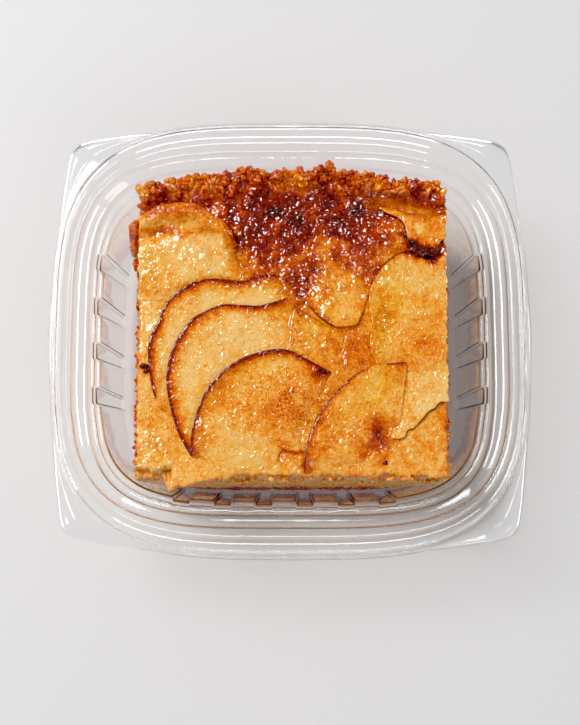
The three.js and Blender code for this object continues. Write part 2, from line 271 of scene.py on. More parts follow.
def tub_ring(row, outline=None):
    """One level of the tub, counter-clockwise from above, starting on the right wall."""
    w, d, n, z, depth = row
    # Near the middle of the floor a ring is shorter than the walls, so its points close up.
    fit = min(1.0, w / LEAST_WALLED)

    def wall(flutes, end, long, across, sign, on_side):
        stations, cut = wall_stations(flutes, end, z)
        stations = stations * fit
        bow = (1 - np.abs(stations / across) ** n) ** (1 / n)
        away = sign * (long * bow + depth * cut)
        points = np.stack((away, stations) if on_side else (stations, away), axis=1)
        return points if (sign > 0) == on_side else points[::-1]

    walls = []
    for sign in (1, -1):
        walls.append(wall(SIDE_FLUTES, SIDE_WALL_END, w, d, sign, True))
        walls.append(wall(FRONT_FLUTES, FRONT_WALL_END, d, w, sign, False))
    ring = []
    for i, points in enumerate(walls):
        start = math.atan2(points[-1][1], points[-1][0])
        onward = walls[(i + 1) % 4][0]
        sweep = (math.atan2(onward[1], onward[0]) - start) % (2 * math.pi)
        angle = start + sweep * np.arange(1, CORNER_STATIONS + 1) / (CORNER_STATIONS + 1)
        x, y = np.cos(angle), np.sin(angle)
        reach = superellipse(x, y, w, d, n)
        ring += [points, np.stack((x * reach, y * reach), axis=1)]
    ring = np.concatenate(ring)
    if outline is not None:
        length = np.hypot(ring[:, 0], ring[:, 1])
        direction = ring[:, 0] / length, ring[:, 1] / length
        least = superellipse(*direction, *TUB_PROFILE[0, :3]) + FLANGE_LEAST
        reach = np.maximum(flange_reach(*direction), least) + outline
        ring = ring / length[:, None] * reach[:, None]
    return np.column_stack((ring, np.full(len(ring), z + FLANGE_Z)))


def loft_faces(rings, count):
    """Quads between stacked rings, and fans to a first and a last point."""
    faces = []
    last = rings * count + 1
    for i in range(count):
        j = (i + 1) % count
        faces.append((0, 1 + j, 1 + i))
        faces.append((last, last - count + i, last - count + j))
    for k in range(rings - 1):
        low = 1 + k * count
        for i in range(count):
            j = (i + 1) % count
            faces.append((low + i, low + j, low + count + j, low + count + i))
    return faces


def offset_profile(rows, distance):
    """The profile moved off its own line, square to it."""
    before, after = np.roll(rows, 1, axis=0), np.roll(rows, -1, axis=0)
    before[0], after[-1] = rows[0], rows[-1]
    run, drop = after[:, 0] - before[:, 0], after[:, 3] - before[:, 3]
    length = np.hypot(run, drop)
    moved = rows.copy()
    moved[:, 0] += distance * -drop / length
    moved[:, 1] += distance * -drop / length
    moved[:, 3] += distance * run / length
    return moved


tub_inside = round_profile(TUB_PROFILE, BEND)
tub_outside = offset_profile(tub_inside, SHEET)
tub_outside[:, 3] = np.maximum(tub_outside[:, 3], -FLANGE_Z)
lip = tub_inside[0].copy()
# The flange's edge is cut hot, which leaves it a little thicker and round.
flange_rows = [(-0.5, -SHEET), (-0.4, -0.62)]
flange_rows += [(LIP_RADIUS * math.sin(a) - LIP_RADIUS, -0.3 - LIP_RADIUS * math.cos(a))
                for a in np.linspace(0.2, math.pi - 0.2, 9)]
flange_rows += [(-0.4, 0.02), (-0.5, 0.0)]
rings = [tub_ring(row) for row in tub_outside[::-1]]
for growth, drop in flange_rows:
    lip[3] = drop
    rings.append(tub_ring(lip, outline=growth))
rings += [tub_ring(row) for row in tub_inside]
ring_size = len(rings[0])
tub_points = np.concatenate([
    [(0, 0, rings[0][0][2])], *rings, [(0, 0, rings[-1][0][2])],
])


def make_piece(name, points, faces, material, attributes=None):
    """A smooth mesh object from points in millimetres, with one value for each point."""
    mesh = bpy.data.meshes.new(name)
    mesh.from_pydata((np.asarray(points) * MM).tolist(), [], faces)
    mesh.validate()
    mesh.polygons.foreach_set("use_smooth", [True] * len(mesh.polygons))
    for key, values in (attributes or {}).items():
        layer = mesh.attributes.new(key, "FLOAT", "POINT")
        layer.data.foreach_set("value", np.asarray(values, np.float32))
    mesh.materials.append(material)
    piece = bpy.data.objects.new(name, mesh)
    bpy.context.collection.objects.link(piece)
    return piece


clear_plastic, tree, shader = new_material("clear_plastic")
shader.inputs["Base Color"].default_value = PLASTIC_TINT
shader.inputs["Transmission Weight"].default_value = 1.0
shader.inputs["IOR"].default_value = 1.5
shader.inputs["Specular IOR Level"].default_value = 0.9
coords = new_node(tree, "ShaderNodeTexCoord")
haze = new_node(tree, "ShaderNodeTexNoise", {"Vector": coords.outputs["Object"]},
                Scale=60.0, Detail=3.0)
tree.links.new(
    ramp(tree, haze.outputs["Fac"], [(0.45, (0.0,) * 3), (0.8, (0.035,) * 3)]),
    shader.inputs["Roughness"],
)
# The hot sheet was drawn a little unevenly.
wave = new_node(tree, "ShaderNodeTexNoise", {"Vector": coords.outputs["Object"]},
                Scale=90.0, Detail=1.0)
drawn = new_node(tree, "ShaderNodeBump", {"Height": wave.outputs["Fac"]},
                 Strength=0.10, Distance=0.0006)
tree.links.new(drawn.outputs[0], shader.inputs["Normal"])
# Light reaches what stands behind the plastic straight, without bright streaks round it.
ray = new_node(tree, "ShaderNodeLightPath")
pass_through = new_node(tree, "ShaderNodeBsdfTransparent", Color=PLASTIC_SHADE)
surface = shader.outputs[0]
for kind in ("Is Diffuse Ray", "Is Shadow Ray"):
    either = new_node(tree, "ShaderNodeMixShader")
    tree.links.new(ray.outputs[kind], either.inputs[0])
    tree.links.new(surface, either.inputs[1])
    tree.links.new(pass_through.outputs[0], either.inputs[2])
    surface = either.outputs[0]
tree.links.new(surface, tree.nodes["Material Output"].inputs["Surface"])

tub = make_piece("tub_shell", tub_points, loft_faces(len(rings), ring_size), clear_plastic)
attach(tub, "root")
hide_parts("tub")
# Long softboxes round the table, which only the plastic catches.
clear_pieces = bpy.data.collections.new("clear_pieces")
clear_pieces.objects.link(tub)
SOFTBOXES = {
    "left_box": ((-1.15, 0.1, 0.75), (1.4, 0.30), 13.0),
    "back_box": ((-0.1, 1.3, 0.75), (1.3, 0.30), 10.0),
    "front_box": ((0.1, -1.35, 0.62), (0.9, 0.25), 9.0),
    "right_box": ((1.25, 0.0, 0.8), (1.0, 0.25), 8.0),
}
for name, (place, size, watts) in SOFTBOXES.items():
    soft_light(name, place, size, watts, (1.0, 1.0, 1.0), clear_pieces)


# ------------------------------------------------------------------ the cake
# A square cut from a tray of apple cake: pale moist crumb on a browned base, glazed on top
# and baked to a dark, bubbly caramel along its back, which was the tin's edge.
CAKE_LEFT = (-60.5, -61.5, -61.3, -61.0, -60.2, -59.2)     # from the base to the top
CAKE_RIGHT = (62.0, 63.5, 63.3, 63.0, 61.8, 60.8)
CAKE_FRONT = (-58.4, -58.7, -57.2, -56.3, -54.8, -54.0)
CAKE_BACK = (57.8, 58.4, 59.0, 61.0, 63.4, 64.4)
CAKE_HEIGHTS = (0.9, 6.0, 10.0, 24.0, 44.6, 51.0)
CAKE_BASE_Z = CAKE_HEIGHTS[0]
CAKE_TOP_Z = 52.0
RIM_RADIUS = 1.6            # of the top's edge
FOOT_HEIGHT = 3.0           # the foot draws in below this
FOOT_DRAWN_IN = 1.4
GRID = 0.52                 # between the points of the top
SIDE_STEP = 1.35            # between the rows of the sides
TUB_CLEARANCE = 0.7


def hashed(cell, seed):
    """A random number from 0 to 1 for each whole-numbered cell."""
    h = cell[..., 0] * 73856093 ^ cell[..., 1] * 19349663 ^ cell[..., 2] * 83492791
    h = (h + seed * 97531) & 0xFFFFFFFF
    for _ in range(2):
        h = ((h ^ (h >> 15)) * 1274126177) & 0xFFFFFFFF
    return ((h ^ (h >> 16)) & 0xFFFFFF) / 0xFFFFFF


def noise(points, size, seed):
    """Smooth noise from -1 to 1 whose lumps are about as wide as size. Each seed gives
    another pattern."""
    spots = points / size + 0.37 * seed
    cell = np.floor(spots).astype(np.int64)
    part = spots - cell
    part = part * part * (3 - 2 * part)
    total = 0
    for corner in np.ndindex(2, 2, 2):
        corner = np.array(corner)
        weight = np.prod(np.where(corner, part, 1 - part), axis=-1)
        total = total + weight * hashed(cell + corner, seed)
    return 2 * total - 1


def layered(points, size, seed, layers=3):
    """Noise with finer and weaker noise laid over it."""
    return sum(noise(points, size / 2.1 ** k, seed + k) / 2 ** k for k in range(layers)) / 1.6


def grains(points, size, seed, spread=0.62):
    """Round domes from 0 to 1, packed like grains of about the given size, and a random
    number from 0 to 1 for the grain each point is on."""
    spots = points / size
    cell = np.floor(spots).astype(np.int64)
    nearest = np.full(points.shape[:-1], 9.0)
    kind = np.zeros(points.shape[:-1])
    for shift in np.ndindex(3, 3, 3):
        there = cell + np.array(shift) - 1
        jitter = np.stack([hashed(there, seed + 7 * k) for k in range(3)], axis=-1)
        away = np.linalg.norm(there + jitter - spots, axis=-1)
        kind = np.where(away < nearest, jitter[..., 0], kind)
        nearest = np.minimum(nearest, away)
    return np.sqrt(np.clip(1 - (nearest / spread) ** 2, 0, 1)), kind


def flat(x, y):
    """Places in plan, as points at height 0."""
    return np.stack((x, y, np.zeros_like(x)), axis=-1)


def spot(x, y, middle_x, middle_y, reach_x, reach_y, turn=0.0):
    """A soft patch, 1 in the middle, that can be longer one way than the other."""
    c, s = math.cos(math.radians(turn)), math.sin(math.radians(turn))
    dx, dy = x - middle_x, y - middle_y
    return np.exp(-((dx * c + dy * s) / reach_x) ** 2 - ((dy * c - dx * s) / reach_y) ** 2)


def patches(x, y, places):
    """The sum of soft patches: amount, middle, reach and turn of each."""
    return sum(amount * spot(x, y, *place) for amount, *place in places)


# How dark the top is baked, over a tone that deepens towards the back, and painted shade beside the crack
# and the lobe at the front edge.
BAKED_AND_SHADE_PATCHES = [
    (0.28, -11, 50, 12, 14), (0.27, 20, 49, 17, 8), (0.10, 26, 60, 14, 4),
    (0.12, -44, 54, 15, 4, 5), (0.10, -2, 46, 10, 8), (-0.20, 5, 59, 6, 5), (-0.18, -60, 55, 5, 10),
    (0.14, 53, 56, 9, 4, -20), (-0.22, 12.5, 34, 4, 5), (0.06, 13, 22, 12, 5), (0.16, 34, 43, 6, 6),
    (-0.16, -19.5, 29, 4, 7), (0.05, 4, 38, 9, 12), (-0.10, 15, 37, 4, 4), (-0.08, 31, 28, 6, 4),
    (0.16, 6, 16, 5, 6), (-0.16, 40, 36, 7, 7, 30), (0.10, 46, 40, 4, 4),
    (-0.24, 43.5, 38, 1.8, 1.8), (-0.26, 38.4, 32, 2.4, 1.7), (-0.2, -22, 42.6, 2, 2),
    (0.11, 25, -3, 8, 8), (0.06, 1, 20, 7, 4), (-0.20, -55, 6, 6, 12), (-0.18, -55, -20, 6, 14),
    (0.45, 34, -39.5, 4.6, 5.4), (0.30, 36, -48, 2.2, 2), (0.06, 52, -44, 10, 6, 30),
    (0.12, 25, 52, 5, 4), (0.14, 5, 45, 5, 4), (0.08, 5, 37, 5, 4), (0.10, -45, -44, 5, 5),
    # The patch at 0, -46 is painted shade beside the crack and the lobe at the front.
    (0.12, 25, -52, 6, 3), (0.07, -40, -53, 8, 3), (0.22, 60, -33, 3, 5), (0.16, 0, -46, 7, 5),
    (-0.06, -42, -52, 12, 5), (0.10, -53, -36, 3, 6), (0.30, -56, -12, 2.5, 3),
    (0.12, -54, -17, 3, 4),
]
# The same for how much syrup lies on it, where it foamed, where cinnamon was dusted, and
# where the syrup soaked in and turned it amber.
WET_PATCHES = [
    (0.55, -5, 42, 32, 20), (0.55, 25, 42, 26, 18), (0.4, -48, 48, 14, 8), (0.4, -54, 30, 7, 10),
    (0.35, 12, 20, 16, 9), (0.3, 20, -5, 14, 12), (0.35, 33, -38, 10, 9), (0.35, -54, -43, 8, 8),
    (0.3, -4, 20, 8, 6), (0.3, -33, -38, 6, 9), (0.3, 34, 4, 5, 10), (0.25, 22, -40, 12, 9),
]
FOAM_PATCHES = [
    (1.1, -54, 32, 3.4, 7), (0.8, -50, 44, 8, 4), (1.0, -5.5, 19, 4.5, 4.5),
    (1.0, -33.5, -36, 3, 4.5), (0.9, 25, -37, 6.5, 5), (0.9, -55, -41, 4, 6), (0.7, 13, 32, 5, 4),
    (0.8, -52, 22, 5, 4), (0.6, -34, -45, 4, 4), (0.5, -30, 47, 8, 3), (0.5, 4, -40, 5, 4),
    (0.6, 34, 8, 3, 7), (0.5, 53, -22, 5, 4), (0.6, 30, -46, 6, 3), (0.7, -36, 35, 5, 4),
]
DUST_PATCHES = [
    (0.9, 0, -27, 12, 12), (0.5, 26, -4, 9, 9), (0.35, 20, -36, 14, 9), (0.3, 48, 0, 12, 14),
    (0.25, -14, -20, 18, 12), (0.3, 14, 1, 10, 5),
]
AMBER_PATCHES = [
    (0.5, 42, 52, 13, 3.5, -14), (0.7, -20, 32, 4, 8), (0.9, 34, 3, 5, 12), (0.5, 0, 10, 6, 6),
    (0.5, 14, 25, 10, 5), (0.6, 10, 3, 8, 4), (0.5, -44, 42.5, 15, 2.5), (0.5, 30, 56, 4, 3),
    (0.4, 42, 34, 6, 5), (0.55, -14, -12, 20, 5, 20), (0.5, -32, -26, 5, 14, -25),
    (0.55, 28, -22, 12, 6, 45), (0.5, 36, -22, 6, 10), (0.85, 41, 16, 7, 14),
    (0.55, -54, 30, 6, 10), (0.5, -20, -47, 18, 6), (0.6, 14, 9, 9, 6), (0.5, -25, 19, 14, 3),
    (0.4, -2, 21, 5, 4),
]


def warped(x, y):
    """The place moved about a little, so that patches get uneven outlines."""
    place = flat(x, y)
    return (x + 2.6 * noise(place, 7, 3) + 1.1 * noise(place, 2.6, 4),
            y + 2.6 * noise(place, 7, 5) + 1.1 * noise(place, 2.6, 6))


def baked_and_shaded_tone(x, y):
    """How dark the top is baked, from 0 to 1, with painted shade beside the crack at the front."""
    place = flat(x, y)
    wx, wy = warped(x, y)
    tone = 0.15 + 0.11 * smoothstep(-48, -15, wy) + 0.32 * smoothstep(13, 29, wy + 0.10 * wx)
    tone += patches(wx, wy, BAKED_AND_SHADE_PATCHES)
    syrup = smoothstep(0.40, 0.62, tone)
    tone += syrup * (0.26 * layered(place, 4.6, 14, 2) + 0.10 * noise(place, 1.2, 16))
    tone -= 0.55 * np.clip(tone - 0.76, 0, 1)
    return np.clip(tone, 0, 1)


def wetness(x, y):
    """How much syrup lies on the top, from 0 to 1."""
    return np.clip(0.35 + patches(x, y, WET_PATCHES) + 0.15 * noise(flat(x, y), 5, 8), 0, 1)


def back_edge(x):
    """Where the ragged back edge of the top runs."""
    place = flat(x, 0 * x)
    return (63.9 + 3.2 * spot(x, 0, -17, 0, 4, 1) + 3.2 * spot(x, 0, 16, 0, 6, 1)
            + 1.6 * spot(x, 0, 0, 0, 14, 1) - 4.4 * smoothstep(-38, -56, x)
            - 2.4 * smoothstep(34, 44, x) - 3.8 * smoothstep(54, 62, x)
            + 1.3 * layered(place, 4.5, 17) + 0.9 * (grains(place, 3.1, 18)[0] - 0.5))


def side_edge(y, side):
    """How far the top's crumbly left or right edge stands from its straight line."""
    place = flat(y, 0 * y + 40 * side)
    return 0.5 * layered(place, 6, 31) + 0.7 * grains(place, 2.3, 32)[0] - 0.3


def in_sides(x, y):
    """Keeps places within the top's left and right edges."""
    return np.clip(x, CAKE_LEFT[-1] - side_edge(y, -1), CAKE_RIGHT[-1] + side_edge(y, 1))


def broken_corner(x, y):
    """1 where the top has broken away at the left front corner, and lower crumb shows."""
    place = flat(x, y)
    reach = y + 51.2 + 1.2 * noise(place, 4, 35) + 0.5 * noise(place, 1.5, 36)
    return smoothstep(0.4, -0.6, reach) * smoothstep(-45.4, -46.8, x + 0.8 * noise(place, 2, 37))


def back_ridge(x, y, width):
    """1 on the crusty ridge along the back edge and 0 a width away from that edge."""
    return 1 - smoothstep(2, width, back_edge(x) - y + 2.5 * noise(flat(x, y), 6, 19))


def relief(x, y):
    """The height of the cake's top, without the beds of its apple slices."""
    place = flat(x, y)
    ridge = back_ridge(x, y, 12)
    height = CAKE_TOP_Z + 0.4 * np.sin(x / 9 + 1) * np.cos(y / 11) + 3.6 * ridge
    height += 2.2 * spot(x, y, 49, 46, 14, 9, -15)
    rough = np.clip(ridge * 1.3, 0, 1)
    syrup = smoothstep(0.45, 0.62, baked_and_shaded_tone(x, y)) * (1 - rough)
    wx, wy = warped(x, y)
    height += rough * (1.0 * grains(flat(wx, wy), 4.4, 11)[0] + 0.8 * grains(place, 2.3, 12)[0]
                       + 0.5 * grains(place, 1.2, 13)[0] + 0.9 * layered(place, 2.6, 15, 2) - 1.5)
    height += syrup * (0.9 * layered(place, 7, 21, 2) + 0.2 * grains(flat(wx, wy), 4.2, 22)[0] - 0.2)
    height += (1 - syrup) * (1 - rough) * (0.40 * layered(place, 5, 25, 2) + 0.10 * noise(place, 1.3, 28))
    return height


def outline_at(z):
    """Left, right, front and back of the cake at a height."""
    return [np.interp(z, CAKE_HEIGHTS, side) for side in (CAKE_LEFT, CAKE_RIGHT, CAKE_FRONT, CAKE_BACK)]


def keep_in_tub(points):
    """Draws points in towards the middle where the tub's wall would be in the way."""
    rows = tub_inside[np.argsort(tub_inside[:, 3])]
    z = points[:, 2] - FLANGE_Z
    w, d, n = (np.interp(z, rows[:, 3], rows[:, k]) for k in range(3))
    limit = superellipse(points[:, 0], points[:, 1], w - TUB_CLEARANCE, d - TUB_CLEARANCE, n)
    points[:, :2] *= np.minimum(limit, 1)[:, None]
    return points


def rounded(away, radius):
    """How far an edge falls off, as a quarter circle of the radius."""
    return radius * (1 - np.sqrt(np.clip(1 - (1 - np.clip(away / radius, 0, 1)) ** 2, 0, 1)))


left, right, front, back = outline_at(CAKE_TOP_Z)
across = int((right - left) / GRID)
along = int((back - front) / GRID)
u, v = np.meshgrid(np.linspace(0, 1, across + 1), np.linspace(0, 1, along + 1), indexing="ij")
x = left + (right - left) * u
y = front + (back - front) * v
# The edges are ragged: crumbs stand out or have broken away, and a flap hangs out at the
# front, next to the broken corner.
rag = flat(x, y)
y = y + np.where(v > 0.5, smoothstep(0.6, 1, v) * (back_edge(x) - back), 0)
x = x + smoothstep(0.94, 1, u) * side_edge(y, 1) - smoothstep(0.06, 0, u) * side_edge(y, -1)
front_rag = 1.8 * layered(rag, 6.5, 33) + 0.7 * grains(rag, 3.3, 34)[0] + 0.6 * noise(rag, 1.3, 36) - 0.6
flap = np.interp(x + 0.7 * noise(rag, 2, 45), (-48.2, -46.8, -24, -20), (0, 5.0, 0.8, 0))
y = y - smoothstep(0.05, 0, v) * front_rag - smoothstep(0.1, 0, v) * flap
from_side = np.minimum(np.minimum(u, 1 - u) * (right - left), np.minimum(v, 1 - v) * (back - front))
z = relief(x.ravel(), y.ravel()).reshape(x.shape)
z -= rounded(from_side, RIM_RADIUS)
corner = broken_corner(x, y)
z -= corner * (3.6 + 1.6 * grains(rag, 3.0, 38)[0] + 1.0 * noise(rag, 2, 39))
# A crack runs down through the front edge beside a small lobe.
crack = patches(*warped(x, y), [(1.1, 1.6, -44.6, 4.4, 0.9, 6), (0.8, -3.6, -46.6, 0.9, 2.8, -20)])
crack += 0.5 * spot(x, y, 5.2, -49, 0.7, 5)
z += 0.6 * spot(x, y, 1.2, -50, 2.6, 4.6) - crack


def smooth_curve(points, count):
    """An evenly stepped curve through a few points."""
    points = np.asarray(points, float)
    ends = np.vstack((2 * points[0] - points[1], points, 2 * points[-1] - points[-2]))
    curve = []
    for a, b, c, d in zip(ends, ends[1:], ends[2:], ends[3:]):
        t = np.linspace(0, 1, 24, endpoint=False)[:, None]
        curve.append(0.5 * (2 * b + (c - a) * t + (2 * a - 5 * b + 4 * c - d) * t ** 2
                            + (3 * b - a - 3 * c + d) * t ** 3))
    curve = np.concatenate([*curve, [points[-1]]])
    length = np.concatenate(([0], np.cumsum(np.hypot(*np.diff(curve, axis=0).T))))
    steps = np.linspace(0, length[-1], count)
    return np.stack([np.interp(steps, length, curve[:, k]) for k in range(2)], axis=1)


def distance_to(curve, x, y):
    """How far each place is from a curve."""
    nearest = np.full(x.shape, 1e9)
    for (ax, ay), (bx, by) in zip(curve[:-1], curve[1:]):
        run_x, run_y = bx - ax, by - ay
        t = np.clip(((x - ax) * run_x + (y - ay) * run_y) / (run_x ** 2 + run_y ** 2), 0, 1)
        nearest = np.minimum(nearest, np.hypot(x - ax - t * run_x, y - ay - t * run_y))
    return nearest


def inside(outline, x, y):
    """Whether each place is within a closed outline."""
    hit = np.zeros(x.shape, bool)
    for (ax, ay), (bx, by) in zip(outline, np.roll(outline, -1, axis=0)):
        if ay != by:
            hit ^= ((ay > y) != (by > y)) & (x < (bx - ax) * (y - ay) / (by - ay) + ax)
    return hit


# Each slice from the one that lies on top down. Its skin runs along its round side and its
# cut edge closes it. proud says how far that edge stands up from the cake at each of its
# points (0 is sunk in); skin_z and far_z are the heights of its skin and its far side, and
# rise is the way it slopes up. tint and tint_reach say how the skin colours the flesh.
AppleSlice = namedtuple(
    "AppleSlice", "node skin cut proud skin_z far_z rise tone skin_width tint tint_reach")
SLICES = [
    AppleSlice(
        "slice_front",
        skin=[(-38.2, -45.6), (-37.9, -39), (-36.8, -33), (-34.6, -26), (-30.8, -18.6),
              (-26, -13.4), (-19.5, -8.8), (-12, -6), (-5, -4.7), (1, -5.6), (7.5, -9),
              (15.8, -13.4)],
        cut=[(12.6, -20.4), (8.6, -28), (5.4, -36), (4.6, -42.6), (-3.4, -44), (-5.4, -50.4),
             (-15, -52.4), (-27, -50)],
        proud=[0.5, 0.1, 0, 0, 0, 0, 0, 0], skin_z=54.7, far_z=52.3, rise=(-0.55, 0.83),
        tone=0.07, skin_width=1.0, tint=0.8, tint_reach=2.8),
    AppleSlice(
        "slice_left_inner",
        skin=[(-38.3, -45.4), (-42.4, -38), (-44.9, -31), (-46.6, -24), (-47.6, -17),
              (-46.9, -10), (-45.2, -4), (-42, 1.6), (-38.1, 6.9), (-33, 10), (-26.5, 12.7),
              (-19, 12.6), (-12, 12.4), (-6, 14), (0, 15.6), (6.2, 14.8)],
        cut=[(1, 9), (-0.2, 4), (-0.4, -4), (-12, -24), (-30, -40)],
        proud=[0, 0.25, 0.25, 0, 0], skin_z=54.4, far_z=52.0, rise=(-0.7, 0.71),
        tone=0.05, skin_width=1.0, tint=0.78, tint_reach=2.5),
    AppleSlice(
        "slice_left_outer",
        skin=[(-50.8, -27), (-53, -20), (-54.2, -13), (-54.8, -6), (-54, 0), (-51, 6),
              (-49, 11.4), (-45, 16.5), (-38.5, 21.2), (-30, 23), (-22, 22.4), (-18, 22.2),
              (-15, 23.8), (-8, 24.8), (-4.6, 24.4), (1.6, 19.4)],
        cut=[(-6, 4), (-30, -8), (-44, -30)],
        proud=[0, 0, 0], skin_z=53.9, far_z=51.6, rise=(-0.7, 0.71),
        tone=0.04, skin_width=0.95, tint=0.76, tint_reach=2.3),
    AppleSlice(
        "slice_front_right",
        skin=[(5.2, -52), (6, -44), (7.6, -38), (9.8, -32.6), (12.4, -28), (16.2, -23), (21, -18),
              (26.5, -13.8), (33, -11), (39, -10.2), (44.6, -9.7)],
        cut=[(45, -12), (44.2, -20), (43.4, -27), (43, -31), (41.2, -34.6), (36.5, -35),
             (34, -42), (29, -48.6), (20, -52)],
        proud=[1, 1, 1, 1, 0.8, 0.2, 0, 0, 0], skin_z=54.3, far_z=53.0, rise=(-0.7, 0.71),
        tone=0.15, skin_width=0.55, tint=0.46, tint_reach=1.6),
    AppleSlice(
        "slice_right",
        skin=[(33.6, -10.6), (31.4, -6), (30.8, -2), (31.4, 2), (32, 5.2), (30.9, 10), (30.6, 14),
              (31, 18), (32.6, 23), (36, 28), (40, 31.6), (45, 34), (56, 35.6)],
        cut=[(64, 33.5), (64, 0), (64, -10), (52, -14.4), (46, -13)],
        proud=[1, 1, 1, 0.3, 0.2], skin_z=53.6, far_z=52.7, rise=(-0.9, 0.4),
        tone=0.11, skin_width=0.5, tint=0.36, tint_reach=1.1),
    AppleSlice(
        "slice_right_low",
        skin=[(66, -24.4), (60, -25), (57.5, -25.4), (55.6, -27.6), (53.4, -28.9), (51, -31.6),
              (47.6, -35.2), (45.2, -36.2), (44.2, -38.4), (42, -39.5), (39.4, -39.6)],
        cut=[(38, -34), (43.4, -14), (52, -11), (66, -9)],
        proud=[0, 0, 0, 1], skin_z=53.3, far_z=52.6, rise=(0.7, -0.71),
        tone=0.07, skin_width=0.3, tint=0.22, tint_reach=0.5),
    AppleSlice(
        "slice_centre",
        skin=[(7, 12.4), (9.5, 9.8), (12, 7.4), (15, 5), (18, 4.1), (22, 4.2), (25.6, 5),
              (27.4, 8), (29, 12), (30.4, 16.4)],
        cut=[(31, 22), (24, 29.5), (14, 31), (7, 24)],
        proud=[0, 0, 0, 0], skin_z=53.7, far_z=52.0, rise=(0.1, -1),
        tone=0.16, skin_width=0.5, tint=0.22, tint_reach=1.2),
    AppleSlice(
        "slice_centre_low",
        skin=[(1.2, 13), (8, 9), (15, 4.4), (21, 1), (19, -7), (12, -10.6)],
        cut=[(4, -7), (-0.6, -3.6), (-0.4, 4)],
        proud=[0, 0, 0], skin_z=52.7, far_z=52.3, rise=(0.3, 0.95),
        tone=0.2, skin_width=0.0, tint=0, tint_reach=1),
    AppleSlice(
        "slice_back_left",
        skin=[(-64, 48), (-58, 48.8), (-55, 50), (-51.5, 52.3), (-45, 53), (-39, 53), (-34, 51),
              (-30, 47.6), (-25.6, 45.6), (-22.4, 42), (-21, 37.6)],
        cut=[(-19.4, 30), (-19, 22), (-34, 19.5), (-45, 14), (-51, 13.2), (-56, 14.2),
             (-64, 14.6)],
        proud=[0, 0, 0, 0, 0, 0.4, 1], skin_z=55.6, far_z=52.2, rise=(0.35, 0.94),
        tone=0.08, skin_width=0.6, tint=0.5, tint_reach=2.4),
    AppleSlice(
        "slice_back_right",
        skin=[(34.5, 50.6), (37.6, 48.6), (41.6, 47), (44.2, 44.6), (45.2, 41), (46, 37.6),
              (47.8, 34.6), (50.4, 32.6), (53.6, 32.8), (56.8, 34.8), (59.2, 38), (66, 39)],
        cut=[(66, 47.4), (52, 48), (44, 51)],
        proud=[1, 0.3, 0], skin_z=55.4, far_z=55.8, rise=(-0.3, -0.95),
        tone=0.08, skin_width=0.12, tint=0.25, tint_reach=1.2),
    AppleSlice(
        "slice_amber",
        skin=[(27.4, 54), (31, 51.4), (36.5, 50), (42, 49), (48, 47.4), (53, 46), (58, 46.6),
              (66, 47.4)],
        cut=[(66, 52), (58, 51.6), (50, 54), (42, 56.4), (34, 57.8)],
        proud=[1, 0, 0, 0, 0], skin_z=55.6, far_z=57.0, rise=(0, -1),
        tone=0.5, skin_width=0.0, tint=0, tint_reach=1),
]
BED_DEPTH = 2.6
BED_STEPS = 90


def closing_points(piece):
    """The points of a slice's cut edge, from one end of its skin to the other."""
    return [piece.skin[0], *piece.cut[::-1], piece.skin[-1]]


# The slices lie in beds: the top is lower under them than between them.
beds = []
for piece in SLICES:
    skin_edge = smooth_curve(piece.skin, BED_STEPS)
    cut_edge = smooth_curve(closing_points(piece), BED_STEPS)
    loop = np.concatenate((skin_edge, cut_edge[::-1][1:-1]))
    sunk = np.zeros(x.shape)
    near = ((x > loop[:, 0].min()) & (x < loop[:, 0].max())
            & (y > loop[:, 1].min()) & (y < loop[:, 1].max()))
    near &= inside(loop, x, y)
    depth = np.minimum(distance_to(skin_edge[::2], x[near], y[near]) * 3,
                       distance_to(cut_edge[::2], x[near], y[near]))
    sunk[near] = smoothstep(0.6, 2.4, depth)
    beds.append(sunk)
z -= BED_DEPTH * np.max(beds, axis=0)

# The sides hang from the rim of the top, down to the browned foot.
rim = [(i, 0) for i in range(across)] + [(across, j) for j in range(along)]
rim += [(i, along) for i in range(across, 0, -1)] + [(0, j) for j in range(along, 0, -1)]
rim_i, rim_j = np.array(rim).T
rim_points = np.stack((x, y, z), axis=-1)[rim_i, rim_j]
levels = np.concatenate((np.arange(50.4, FOOT_HEIGHT, -SIDE_STEP), [2.4, 1.6, 1.1, CAKE_BASE_Z]))
rows = []
for level in levels:
    left, right, front, back = outline_at(level)
    foot = FOOT_DRAWN_IN * max(0, (FOOT_HEIGHT - level) / (FOOT_HEIGHT - CAKE_BASE_Z)) ** 2
    ru, rv = rim_i / across, rim_j / along
    row = np.stack((left + foot + (right - left - 2 * foot) * ru,
                    front + foot + (back - front - 2 * foot) * rv,
                    np.minimum(level, rim_points[:, 2] - 0.25 * (CAKE_TOP_Z - level))), axis=1)
    blend = smoothstep(40, 51.5, level) * np.where(rv > 0.9, 1, 0.85)
    row[:, :2] += blend[:, None] * (rim_points[:, :2] - row[:, :2])
    rows.append(row)
rows = np.array(rows)
# Crumb: bubbles baked open, and small loose grains between them.
ahead, behind = np.roll(rows, -1, axis=1), np.roll(rows, 1, axis=1)
out = np.stack((ahead[..., 1] - behind[..., 1], behind[..., 0] - ahead[..., 0]), axis=-1)
out /= np.linalg.norm(out, axis=-1)[..., None]
pores = grains(rows, 3.6, 41, 0.5)[0] + 0.6 * grains(rows, 2.0, 42, 0.45)[0]
crumb = 0.6 * layered(rows, 6, 43) + 0.35 * grains(rows, 1.6, 44)[0] - 0.8 * pores
fade = np.clip((rows[..., 2] - CAKE_BASE_Z) / 3, 0, 1)
rows[..., :2] += out * (crumb * (0.3 + 0.7 * fade))[..., None]


